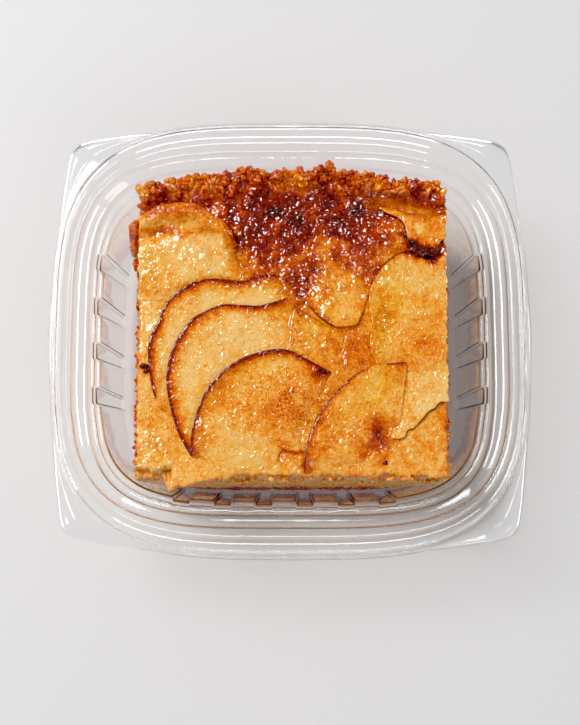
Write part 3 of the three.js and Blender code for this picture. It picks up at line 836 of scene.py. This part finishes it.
def skirted_faces(columns, rows, rim_i, rim_j, skirts):
    """Quads of a grid and of the skirts that hang from its rim, and a fan over their end."""
    grid = np.arange(columns * rows).reshape(columns, rows)
    top = np.stack((grid[:-1, :-1], grid[1:, :-1], grid[1:, 1:], grid[:-1, 1:]), axis=-1)
    size = len(rim_i)
    hanging = grid.size + np.arange(skirts * size).reshape(skirts, size)
    loops = np.concatenate(([grid[rim_i, rim_j]], hanging))
    ahead = np.roll(loops, -1, axis=1)
    sides = np.stack((loops[:-1], loops[1:], ahead[1:], ahead[:-1]), axis=-1)
    hub = grid.size + skirts * size
    fan = [[hub, b, a] for a, b in zip(loops[-1].tolist(), ahead[-1].tolist())]
    return top.reshape(-1, 4).tolist() + sides.reshape(-1, 4).tolist() + fan


top_count = x.size
points = keep_in_tub(np.concatenate((
    np.stack((x, y, z), axis=-1).reshape(-1, 3), rows.reshape(-1, 3), [[0.5, 0, CAKE_BASE_Z]],
)))
faces = skirted_faces(across + 1, along + 1, rim_i, rim_j, len(rows))


def with_sides(values):
    """Values for the top's points, followed by 0 for all the others."""
    return np.concatenate((values.ravel(), np.zeros(len(points) - top_count)))


# What each point is like: how dark it is baked, with painted shade between the crust's grains and in the
# crack, how wet, how crumbly, how much crust.
px, py, pz = points.T
on_top = np.arange(len(points)) < top_count
broken = with_sides(corner)
plan = flat(px, py)
ridge = back_ridge(px, py, 11)
dome, dome_kind = grains(plan, 2.3, 12)
top_tone = baked_and_shaded_tone(px, py)
syrup = smoothstep(0.45, 0.62, top_tone)
# Painted shade on the crust at the back: darker between its grain domes and lighter on their tops, over a
# random tone for each grain.
top_tone += ridge * (0.14 * (dome_kind - 0.5) + 0.26 * (0.55 - dome) - 0.21)
top_tone += (1 - ridge) * syrup * 0.12 * (0.5 - grains(flat(*warped(px, py)), 4.2, 22)[0])
top_tone += 0.18 * np.exp(-with_sides(from_side) / 0.7)
top_tone += broken * (0.02 + 0.25 * (grains(plan, 3.0, 38)[1] - 0.5))
# Painted shade: the crack is drawn darker than the top beside it.
top_tone += 0.34 * with_sides(np.clip(crack, 0, 1))
foot_crust = 1 - smoothstep(9, 14, pz + 2 * noise(points, 6, 52))
top_crust = smoothstep(46.5, 51, pz + 1.2 * noise(points, 4, 53)) * ~on_top
back_crust = smoothstep(55, 57.5, py - 0.06 * (pz - 10) + noise(points, 5, 54)) * ~on_top
side_tone = (0.19 + 0.08 * noise(points, 6, 51) + np.maximum(0.44 * foot_crust, 0.34 * back_crust)
             + 0.10 * foot_crust * back_crust + 0.04 * top_crust)
wet = np.where(on_top, wetness(px, py), 0.15 + 0.4 * top_crust)
cake_masks = {
    "tone": np.clip(np.where(on_top, top_tone, side_tone), 0, 1),
    "wet": np.clip(wet * (1 - 0.15 * ridge * on_top) * (1 - 0.8 * broken), 0, 1),
    "amber": np.clip(patches(px, py, AMBER_PATCHES), 0, 1) * on_top,
    "skin": 0 * px,
    "rough": np.clip(np.where(on_top, 0.45 * ridge + broken, 1.0), 0, 1),
    "foam": np.clip(patches(px, py, FOAM_PATCHES), 0, 1) * on_top * (1 - broken),
    "dust": np.clip(patches(px, py, DUST_PATCHES), 0, 1) * on_top,
}


# The colours of crumb, apple and syrup, from pale to burnt, are shared by all that was baked.
def srgb(*color):
    """A colour given as seen, from 0 to 255, made linear."""
    value = np.array(color) / 255
    return tuple(np.where(value < 0.04045, value / 12.92, ((value + 0.055) / 1.055) ** 2.4).tolist())


BAKED_COLORS = [
    (0.00, (253, 206, 130)), (0.10, (252, 191, 98)), (0.20, (248, 169, 62)),
    (0.30, (240, 141, 30)), (0.40, (224, 112, 9)), (0.52, (200, 80, 2)),
    (0.64, (168, 48, 1)), (0.78, (130, 24, 1)), (0.90, (92, 13, 1)), (1.00, (46, 8, 2)),
]
AMBER_COLORS = [            # where the syrup has soaked in
    (0.00, (250, 202, 104)), (0.20, (243, 170, 38)), (0.34, (228, 138, 12)),
    (0.52, (188, 92, 2)), (0.70, (144, 54, 1)), (1.00, (60, 20, 2)),
]
SKIN_COLORS = [(0.3, (96, 8, 0)), (0.7, (152, 34, 2))]
SPICE_COLOR = (140, 52, 2)
SPICE_GRAINS = ((520, 0.14, 0.62), (900, 0.17, 0.60))      # grains per metre, size, bare share
MASKS = ("tone", "wet", "amber", "skin", "rough", "foam", "dust")


def baked_group():
    """The colour, roughness and fine height of all that was baked, from the masks."""
    group = bpy.data.node_groups.new("baked_surface", "ShaderNodeTree")
    for name in MASKS:
        group.interface.new_socket(name, in_out="INPUT", socket_type="NodeSocketFloat")
    group.interface.new_socket("Color", in_out="OUTPUT", socket_type="NodeSocketColor")
    group.interface.new_socket("Roughness", in_out="OUTPUT", socket_type="NodeSocketFloat")
    group.interface.new_socket("Height", in_out="OUTPUT", socket_type="NodeSocketFloat")
    mask = group.nodes.new("NodeGroupInput").outputs
    result = group.nodes.new("NodeGroupOutput")
    where = new_node(group, "ShaderNodeTexCoord").outputs["Object"]

    def texture(scale, detail=2.0, rough=0.55):
        node = new_node(group, "ShaderNodeTexNoise", {"Vector": where}, Scale=scale, Detail=detail,
                        Roughness=rough)
        return node.outputs["Fac"]

    def calc(operation, *values, clamp=False):
        node = group.nodes.new("ShaderNodeMath")
        node.operation = operation
        node.use_clamp = clamp
        for socket, value in zip(node.inputs, values):
            if isinstance(value, (int, float)):
                socket.default_value = value
            else:
                group.links.new(value, socket)
        return node.outputs[0]

    def blend(factor, a, b):
        node = group.nodes.new("ShaderNodeMix")
        node.data_type = "RGBA"
        for socket, value in ((node.inputs[0], factor), (node.inputs[6], a), (node.inputs[7], b)):
            if isinstance(value, tuple):
                socket.default_value = (*value, 1)
            else:
                group.links.new(value, socket)
        return node.outputs[2]

    def varied(value, *steps):
        """The value, moved up and down by each texture in turn."""
        for source, amount in steps:
            value = calc("MULTIPLY_ADD", calc("SUBTRACT", source, 0.5), amount, value)
        return value

    fine, middle, broad = texture(1250, 2), texture(480, 3), texture(170, 2)
    tone = varied(mask["tone"], (fine, 0.52), (middle, 0.46), (broad, 0.40))
    # Cinnamon lies on it as a fine reddish dust.
    dusted = calc("MULTIPLY", mask["dust"], ramp(group, texture(1900, 3, 0.7), [
        (0.42, (0.0,) * 3), (0.60, (1.0,) * 3)]))
    tone = calc("MULTIPLY_ADD", dusted, 0.30, tone)
    baked = ramp(group, tone, [(place, srgb(*shade)) for place, shade in BAKED_COLORS])
    amber = ramp(group, tone, [(place, srgb(*shade)) for place, shade in AMBER_COLORS])
    color = blend(mask["amber"], baked, amber)
    # Skin, which is dark red and breaks up a little.
    skin_part = ramp(group, varied(mask["skin"], (middle, 0.5)), [
        (0.40, (0, 0, 0)), (0.60, (1, 1, 1))])
    skin_color = ramp(group, fine, [(place, srgb(*shade)) for place, shade in SKIN_COLORS])
    color = blend(skin_part, color, skin_color)
    # Grains of cinnamon and clove.
    for scale, size, bare_share in SPICE_GRAINS:
        cell = new_node(group, "ShaderNodeTexVoronoi", {"Vector": where}, Scale=scale)
        pick = new_node(group, "ShaderNodeSeparateColor", {"Color": cell.outputs["Color"]})
        chosen = calc("GREATER_THAN", pick.outputs[0], bare_share)
        dot = calc("LESS_THAN", cell.outputs["Distance"], size)
        color = blend(calc("MULTIPLY", calc("MULTIPLY", dot, chosen), 0.62), color, srgb(*SPICE_COLOR))
    group.links.new(color, result.inputs["Color"])
    gloss = ramp(group, varied(mask["wet"], (middle, 0.5)), [
        (0.0, (0.40,) * 3), (0.3, (0.13,) * 3), (0.6, (0.05,) * 3)])
    group.links.new(calc("MULTIPLY_ADD", skin_part, 0.06, gloss), result.inputs["Roughness"])
    # Syrup has set in uneven domes, with beads of it on the apple, and foam in small bubbles.
    bent = new_node(group, "ShaderNodeTexNoise", {"Vector": where}, Scale=330.0, Detail=0.0)
    twist = new_node(group, "ShaderNodeVectorMath", {0: bent.outputs["Color"]}, operation="SCALE")
    twist.inputs["Scale"].default_value = 0.0034
    twisted = new_node(group, "ShaderNodeVectorMath", {0: where, 1: twist.outputs[0]}, operation="ADD")

    def domes(scale, width, height, share=0.0):
        """Round caps of a width in cells and a height in mm, on a share of the cells."""
        cell = new_node(group, "ShaderNodeTexVoronoi", {"Vector": twisted.outputs[0]}, Scale=scale)
        square = calc("MULTIPLY", cell.outputs["Distance"], cell.outputs["Distance"])
        cap = calc("MULTIPLY_ADD", square, -height / width ** 2, height)
        if share:
            cap = calc("MAXIMUM", cap, 0.0)
            pick = new_node(group, "ShaderNodeSeparateColor", {"Color": cell.outputs["Color"]})
            cap = calc("MULTIPLY", cap, calc("LESS_THAN", pick.outputs[0], share))
        return cap

    syrup = ramp(group, mask["wet"], [(0.5, (0.0,) * 3), (0.8, (1.0,) * 3)])
    wavy = calc("MULTIPLY", domes(390.0, 0.6, 0.26), syrup)
    beads = calc("ADD", domes(390.0, 0.44, 0.36, 0.5), domes(700.0, 0.42, 0.22, 0.6))
    wavy = calc("ADD", wavy, beads)
    wavy = calc("MULTIPLY_ADD", texture(560, 0, 0.5), calc("MULTIPLY_ADD", syrup, 0.02, 0.16), wavy)
    grainy = calc("MULTIPLY", texture(1700, 3, 0.65), calc("MULTIPLY_ADD", mask["rough"], 0.24, 0.015))
    bubble = new_node(group, "ShaderNodeTexVoronoi", {"Vector": where}, Scale=340)
    dome = calc("SUBTRACT", 0.30, calc("POWER", bubble.outputs["Distance"], 2.0), clamp=True)
    foam = calc("MULTIPLY", dome, calc("MULTIPLY", mask["foam"], 1.5))
    group.links.new(calc("ADD", calc("ADD", wavy, grainy), foam), result.inputs["Height"])
    return group


baked_surface = baked_group()


def baked_material(name, bump, subsurface=0.0):
    """A baked surface that reads a piece's own masks."""
    material, tree, shader = new_material(name)
    group = new_node(tree, "ShaderNodeGroup")
    group.node_tree = baked_surface
    for socket in MASKS:
        value = new_node(tree, "ShaderNodeAttribute", attribute_name=socket)
        tree.links.new(value.outputs["Fac"], group.inputs[socket])
    tree.links.new(group.outputs["Color"], shader.inputs["Base Color"])
    tree.links.new(group.outputs["Roughness"], shader.inputs["Roughness"])
    uneven = new_node(tree, "ShaderNodeBump", {"Height": group.outputs["Height"]},
                      Strength=bump, Distance=0.001)
    tree.links.new(uneven.outputs[0], shader.inputs["Normal"])
    shader.inputs["Specular IOR Level"].default_value = 0.8
    shader.inputs["Subsurface Weight"].default_value = subsurface
    shader.inputs["Subsurface Radius"].default_value = (1.0, 0.4, 0.15)
    shader.inputs["Subsurface Scale"].default_value = 0.002
    return material


cake = make_piece("cake_body", points, faces, baked_material("cake", 0.9, 0.1), cake_masks)
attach(cake, "root")
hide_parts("cake")


# ------------------------------------------------------------------ the apple slices
# Half-moon slices of unpeeled apple, baked on the batter in an uneven fan. Each lies on the
# next, skin side up and outwards, and sinks into the cake along its cut side.
SLICE_BOTTOM = 48.6
SLICE_COLUMNS = 150
SLICE_ROWS = 56
SKIRT_DROPS = (0.2, 0.5, 1.0)       # shares of the way down to a slice's bottom
# Where the slices took more colour, or less, and where painted shade lies on them: in the valley under the
# fold of the slice at the back left, along the right edge of the centre slice and beside the crack at the
# front.
APPLE_AND_SHADE_PATCHES = [
    # The patch at -47, 41.4 is painted shade in the valley under the fold of the slice at the back left.
    (0.31, -38, 50, 13, 3.6, 3), (0.18, -52, 48, 6, 4), (0.38, -47, 41.4, 16, 2.3, 8),
    (0.28, -21, 38, 3.2, 9), (0.14, -54, 20, 6, 6), (0.06, -55, 32, 5, 8),
    (0.26, -2.5, 20.5, 5, 4.5), (0.10, -13, 20, 7, 3), (0.08, -3, 8, 7, 7),
    (0.12, -41, 19.5, 7, 3, 25), (-0.09, -45, -12, 6, 14), (0.22, 12, 21, 8, 5),
    (0.16, 57, 45, 5, 5), (0.08, 35, 9, 4, 8), (0.05, 41, 18, 7, 10), (0.15, 5, 12, 4, 4),
    # The patch at -55, 37 carries that painted shade of the fold on to the left.
    (0.12, -55, 37, 5, 3.5), (-0.14, -55, 44.5, 5, 3), (0.07, -35, 3, 6, 5), (-0.08, -25, 36, 4, 4),
    (0.12, 36, -44, 5, 4), (0.09, 45, -28, 4, 6), (-0.08, 56, -28, 5, 5), (-0.08, 15, 4, 5, 4),
    (-0.10, -17, 8, 9, 7), (-0.10, -25, 20, 6, 3), (0.20, 2, -27, 12, 12), (0.12, -18, -27, 12, 12),
    # The patch at 0, -43 is painted shade beside the crack and the lobe at the front.
    (-0.06, -16, -46, 12, 5), (0.2, 0, -43, 7, 4), (0.15, 5, 12, 4, 5),
    (0.42, 13.5, -15, 3, 2.6, -30), (-0.22, -2, -11, 10, 4, -15), (0.10, -31, -42, 4, 6),
    (0.12, 20, -42, 14, 7, 25), (-0.10, 25, -40, 6, 6), (-0.08, 58, -27, 6, 6),
    (0.60, 33.4, -38.8, 4.8, 5.6), (0.40, 30.5, -43.8, 5, 3.6), (0.10, 40, -16, 4, 6),
    (0.14, 35, 4, 4.5, 12), (0.14, 54, 2, 10, 13), (0.08, 55, -8, 9, 5), (-0.04, 45, 22, 10, 8),
    # The patch at 28.6, 12 is painted shade along the right edge of the centre slice.
    (0.16, 28.6, 12, 2.4, 7), (0.30, 10.5, 9, 4, 3, -40), (0.10, 20, 27, 10, 4),
    (0.10, 14, -4, 9, 5), (0.10, 32, 53, 6, 4), (-0.16, 52, 50, 9, 3), (0.24, 45, 41, 2, 5, 15),
    (0.9, 47.6, 34.6, 3, 2.6), (0.9, 52.4, 32.6, 4.4, 2.2), (0.6, 57, 34.6, 2.4, 2),
    (0.16, 52, 38, 6, 3), (0.12, 59, 44, 3, 6),
]
# Where the peel is gone, or hidden by syrup.
BARE_PATCHES = [
    (1, 33, -10, 5, 7), (1, 30, 6, 4, 12), (1, -51, -27, 3, 5), (0.9, -2, 21, 5, 5),
    (1, -35, 52, 7, 4), (0.9, -29, 47, 4, 4), (1, -64, 48, 8, 4), (1, 27, 8, 5, 9),
    (0.8, 20, 4, 4, 2), (0.7, 22, -40, 4, 14), (0.8, 62, -25, 5, 3), (1, 24, 28, 10, 8),
    (1, 60, 37, 6, 3), (1, 3, 15, 4, 3),
]


def proud_share(piece, x, y):
    """How far the cut edge stands proud, at the nearest of its points."""
    closing = np.array(closing_points(piece))
    away = np.hypot(x[..., None] - closing[:, 0], y[..., None] - closing[:, 1]) + 1e-3
    nearness = away ** -3
    return (nearness * [0, *piece.proud[::-1], 0]).sum(axis=-1) / nearness.sum(axis=-1)


def slice_height(node, x, y, to_skin, base):
    """The shape of a slice's upper face over its tilted plane."""
    place = flat(x, y)
    height = base + 0.5 * layered(place, 9, 61) + 0.2 * layered(place, 2.8, 62)
    if node == "slice_back_left":
        wave = np.exp(-((to_skin - 3.4) / 2.8) ** 2) - 1.3 * np.exp(-((to_skin - 9.4) / 2.6) ** 2)
        height += 1.3 * wave + 0.5 * layered(place, 3.5, 63) * smoothstep(12, 2, to_skin)
    if node == "slice_centre":
        height += 0.5 * spot(x, y, 19, 9, 7, 5)
    if node == "slice_right":
        height -= 0.9 * spot(x, y, 35, 4, 4.5, 12)
    return height


def slice_face(piece, skin_edge, cut_edge):
    """The grid of points on a slice's upper face, from its skin across to its cut edge."""
    share = np.linspace(0, 1, SLICE_ROWS)[None, :, None] ** 1.5
    grid = skin_edge[:, None] * (1 - share) + cut_edge[:, None] * share
    x, y = grid[..., 0], grid[..., 1]
    to_skin, to_cut = distance_to(skin_edge, x, y), distance_to(cut_edge, x, y)
    if not piece.skin_width:
        # Its round side is sunk in too.
        to_skin, to_cut = to_skin + 4, np.minimum(to_skin, to_cut)
    proud = proud_share(piece, x, y)
    reach = x * piece.rise[0] + y * piece.rise[1]
    rise_share = (reach - reach.min()) / (reach.max() - reach.min())
    plane = piece.far_z + (piece.skin_z - piece.far_z) * rise_share
    z = slice_height(piece.node, x, y, to_skin, plane)
    sunk = relief(x, y) - 0.25 * smoothstep(1.0, 0, to_cut)
    z += (sunk - z) * (1 - proud) * (1 - smoothstep(0, 7, to_cut)) * smoothstep(0.5, 4, to_skin)
    z -= 0.4 * rounded(to_skin, 0.7) + proud * rounded(to_cut, 0.6)
    return np.stack((x, y, z), axis=-1)


def slice_mesh(piece, skin_edge, cut_edge):
    """The points and faces of a slice, whose edge drops straight into the cake."""
    face = slice_face(piece, skin_edge, cut_edge)
    back_again = np.arange(SLICE_COLUMNS - 2, 0, -1)
    rim_i = np.concatenate((np.arange(SLICE_COLUMNS), back_again))
    rim_j = np.concatenate((np.zeros(SLICE_COLUMNS, int), np.full(len(back_again), SLICE_ROWS - 1)))
    rim = face[rim_i, rim_j]
    skirts = []
    for part in SKIRT_DROPS:
        skirt = rim.copy()
        skirt[:, 2] += (SLICE_BOTTOM - skirt[:, 2]) * part
        skirts.append(skirt)
    hub = [*rim[:, :2].mean(axis=0), SLICE_BOTTOM]
    points = np.concatenate((face.reshape(-1, 3), *skirts, [hub]))
    points[:, 0] = in_sides(points[:, 0], points[:, 1])
    faces = skirted_faces(SLICE_COLUMNS, SLICE_ROWS, rim_i, rim_j, len(skirts))
    # The skin runs clockwise round the slice or the other way.
    half = SLICE_COLUMNS // 2
    inward, onward = cut_edge[half] - skin_edge[half], skin_edge[half + 1] - skin_edge[half]
    if onward[0] * inward[1] - onward[1] * inward[0] < 0:
        faces = [corners[::-1] for corners in faces]
    return points, faces


def slice_masks(piece, points, skin_edge, cut_edge):
    """What each point of a slice is like."""
    x, y = points[:, 0], points[:, 1]
    to_skin = distance_to(skin_edge[::2], x, y)
    tone = piece.tone + patches(*warped(x, y), APPLE_AND_SHADE_PATCHES) + 0.05 * noise(points, 6, 71)
    # Towards a sunk edge the slice takes the colour of the cake round it.
    sunken = (1 - proud_share(piece, x, y)) * smoothstep(1, 4, to_skin)
    sunken *= np.exp(-(distance_to(cut_edge[::2], x, y) / 3.2) ** 2)
    tone += sunken * (baked_and_shaded_tone(x, y) - tone)
    bare = np.clip(patches(x, y, BARE_PATCHES), 0, 1)
    tint = (1 - 0.7 * bare) * piece.tint * (0.75 + 0.45 * noise(points, 9, 72))
    tone += tint * np.exp(-np.clip(to_skin - piece.skin_width, 0, 30) / piece.tint_reach)
    skin_width = max(piece.skin_width, 0.1) * (1 + 0.45 * noise(points, 4, 73))
    skin = (1 - bare) * (1 - smoothstep(0.6, 1.4, to_skin / skin_width))
    soaked = 0.4 * (piece.node == "slice_amber")
    return {
        "tone": np.clip(tone, 0, 1),
        "wet": np.clip(wetness(x, y) + 0.05, 0, 1),
        "amber": np.clip(patches(x, y, AMBER_PATCHES) + soaked, 0, 1),
        "skin": skin * (piece.skin_width > 0),
        "rough": 0 * x,
        "foam": np.clip(patches(x, y, FOAM_PATCHES), 0, 1),
        "dust": np.clip(patches(x, y, DUST_PATCHES), 0, 1),
    }


apple_material = baked_material("apple", 0.7, 0.3)
for piece in SLICES:
    skin_edge = smooth_curve(piece.skin, SLICE_COLUMNS)
    cut_edge = smooth_curve(closing_points(piece), SLICE_COLUMNS)
    points, faces = slice_mesh(piece, skin_edge, cut_edge)
    masks = slice_masks(piece, points, skin_edge, cut_edge)
    apple = make_piece(piece.node.replace("slice", "apple"), points, faces, apple_material, masks)
    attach(apple, "root")
    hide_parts(piece.node)


# ------------------------------------------------------------------ the sugary grains
# Grains of batter and sugar that baked loose along the back edge, where the top met the tin: round and
# sticky, on a crust that is painted darker between its domes than on top, as shade. Like all the small
# things, they are one mesh.
LUMP_RINGS = 7
LUMP_SIDES = 12
GRAIN_COUNT = 520


def lumps(places, seed, uneven):
    """Uneven round lumps joined in one mesh, from the middle and the half sizes of each."""
    places = np.asarray(places, float)
    polar = np.linspace(0, math.pi, LUMP_RINGS + 2)[1:-1]
    turn = 2 * math.pi * np.arange(LUMP_SIDES) / LUMP_SIDES
    ball = [(math.sin(p) * math.cos(t), math.sin(p) * math.sin(t), math.cos(p)) for p in polar for t in turn]
    ball = np.array([(0, 0, 1), *ball, (0, 0, -1)])
    away = ball[None] + 5.0 * np.arange(len(places))[:, None, None]
    swell = 1 + uneven * (noise(away, 1.1, seed) + 0.7 * noise(away, 0.55, seed + 1))
    points = ball[None] * swell[..., None] * places[:, None, 3:6] + places[:, None, :3]
    last = len(ball) - 1
    faces = []
    for i in range(LUMP_SIDES):
        j = (i + 1) % LUMP_SIDES
        faces += [(0, 1 + i, 1 + j), (last, last - LUMP_SIDES + j, last - LUMP_SIDES + i)]
        for k in range(LUMP_RINGS - 1):
            a = 1 + k * LUMP_SIDES
            faces.append((a + i, a + LUMP_SIDES + i, a + LUMP_SIDES + j, a + j))
    all_faces = [tuple(v + n * len(ball) for v in face) for n in range(len(places)) for face in faces]
    return points.reshape(-1, 3), all_faces


def bits_piece(name, places, seed, node, tone, wet, bump, uneven, amber=0.0, rough=0.0):
    """A piece of joined lumps, with a tone for all or for each of them."""
    points, faces = lumps(places, seed, uneven)
    each = np.repeat(np.broadcast_to(tone, len(places)), len(points) // len(places))
    none = np.zeros(len(points))
    masks = {
        "tone": np.clip(each + 0.06 * noise(points, 1.5, seed), 0, 1),
        "wet": none + wet,
        "amber": none + amber,
        "skin": none,
        "rough": none + rough,
        "foam": none,
        "dust": none,
    }
    piece = make_piece(name, points, faces, baked_material(name, bump), masks)
    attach(piece, "root")
    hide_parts(node)


chance = np.random.default_rng(11)
x = chance.uniform(-59.5, 61, GRAIN_COUNT)
y = back_edge(x) + 0.3 - 8.5 * chance.power(0.8, GRAIN_COUNT) * chance.uniform(0.3, 1, GRAIN_COUNT)
size = chance.uniform(0.5, 1.35, GRAIN_COUNT) * np.where(chance.random(GRAIN_COUNT) < 0.10, 1.4, 1)
stretch = chance.uniform(0.75, 1.3, (GRAIN_COUNT, 3))
# None lies on the slices at the back.
clear = ~((x < -28) & (y < 53.5)) & ~((x > 27) & (y < 57))
places = np.column_stack((x, y, relief(x, y) - 0.30 * size, size[:, None] * stretch))[clear]
tone = baked_and_shaded_tone(x, y)[clear] - 0.12 + 0.18 * (chance.random(clear.sum()) - 0.55)
bits_piece("crust_grains", places, 91, "cake", tone, wet=1.0, rough=0.05, bump=0.6, uneven=0.55)


# ------------------------------------------------------------------ the burnt lip
# The round side of the cream slice at the back right stood up from the cake and burnt to a
# nearly black, curled lip of uneven beads, which hangs over the slice in front of it.
LIP_POINTS = [(44.6, 39.8), (45.4, 37.4), (47.2, 34.4), (50.2, 32.2), (53.6, 32.5), (57, 34.8)]
LIP_BEADS = 15
LIP_Z = 54.6

path = smooth_curve(LIP_POINTS, LIP_BEADS)
size = chance.uniform(0.7, 1.3, LIP_BEADS)
places = np.column_stack((path + chance.uniform(-0.3, 0.5, (LIP_BEADS, 2)),
                          LIP_Z + 0.6 * chance.random(LIP_BEADS), size, size, 0.8 * size))
tone = 0.88 + 0.14 * (chance.random(LIP_BEADS) - 0.5)
bits_piece("burnt_lip", places, 92, "slice_back_right", tone, wet=0.95, bump=0.8, uneven=0.4)


# ------------------------------------------------------------------ the syrup at the left
# Syrup and batter that boiled over the left side near the back and set there, in brown,
# shining drops of uneven size. Middle and half sizes of each are given.
SIDE_RUN = [
    (-61.9, 43.4, 42, 2.5, 4.4, 6), (-61.9, 38.2, 40, 2.3, 3.8, 6), (-61.4, 33.0, 37, 1.7, 3.2, 6),
    (-60.6, 47.6, 40, 1.7, 2.4, 5), (-61.0, 28.6, 34, 1.3, 2.2, 5),
]
SIDE_RUN_TONES = [0.50, 0.44, 0.5, 0.42, 0.5]
bits_piece("side_syrup", SIDE_RUN, 93, "cake", SIDE_RUN_TONES, wet=0.95, amber=0.2, bump=0.9, uneven=0.5)


# ------------------------------------------------------------------ the dark bits
# Bits of dried fruit or burnt batter, nearly black: three together at the left edge and one
# at the front right. Middle and half sizes of each are given.
DARK_BITS = [
    (-56.4, -11.2, 52.3, 1.4, 1.0, 0.8), (-55.2, -12.8, 52.3, 1.1, 1.1, 0.7),
    (36.4, -48.4, 52.0, 0.9, 1.1, 0.6), (-53.4, -13.6, 52.2, 0.6, 0.8, 0.5),
]
bits_piece("dark_bits", DARK_BITS, 95, "cake", 0.86, wet=0.8, bump=0.6, uneven=0.5)


# ------------------------------------------------------------------ the edge crumbs
# Dry crumbs that the knife pulled loose along the cut edges, finer and browner at the two
# sides, pale on the front face.
SIDE_CRUMBS = 150
FRONT_CRUMBS = 70

y = chance.uniform(-52, 56, SIDE_CRUMBS)
side = np.where(chance.random(SIDE_CRUMBS) < 0.5, -1, 1)
x = np.where(side < 0, CAKE_LEFT[-1] - side_edge(y, -1), CAKE_RIGHT[-1] + side_edge(y, 1))
size = chance.uniform(0.35, 0.9, SIDE_CRUMBS)
side_places = np.column_stack((x + side * 0.1, y, 50.9 - 1.6 * chance.random(SIDE_CRUMBS),
                               size[:, None] * chance.uniform(0.8, 1.2, (SIDE_CRUMBS, 3))))
x = chance.uniform(-44, 60, FRONT_CRUMBS)
size = chance.uniform(0.4, 1.0, FRONT_CRUMBS)
z = chance.uniform(38, 51, FRONT_CRUMBS)
front_places = np.column_stack((x, np.interp(z, CAKE_HEIGHTS, CAKE_FRONT) - 0.2, z,
                                size[:, None] * chance.uniform(0.8, 1.2, (FRONT_CRUMBS, 3))))
tone = np.concatenate((chance.uniform(0.28, 0.66, SIDE_CRUMBS), chance.uniform(0.04, 0.24, FRONT_CRUMBS)))
bits_piece("edge_crumbs", np.vstack((side_places, front_places)), 96, "cake", tone,
           wet=0.35, rough=0.8, bump=0.7, uneven=0.5)
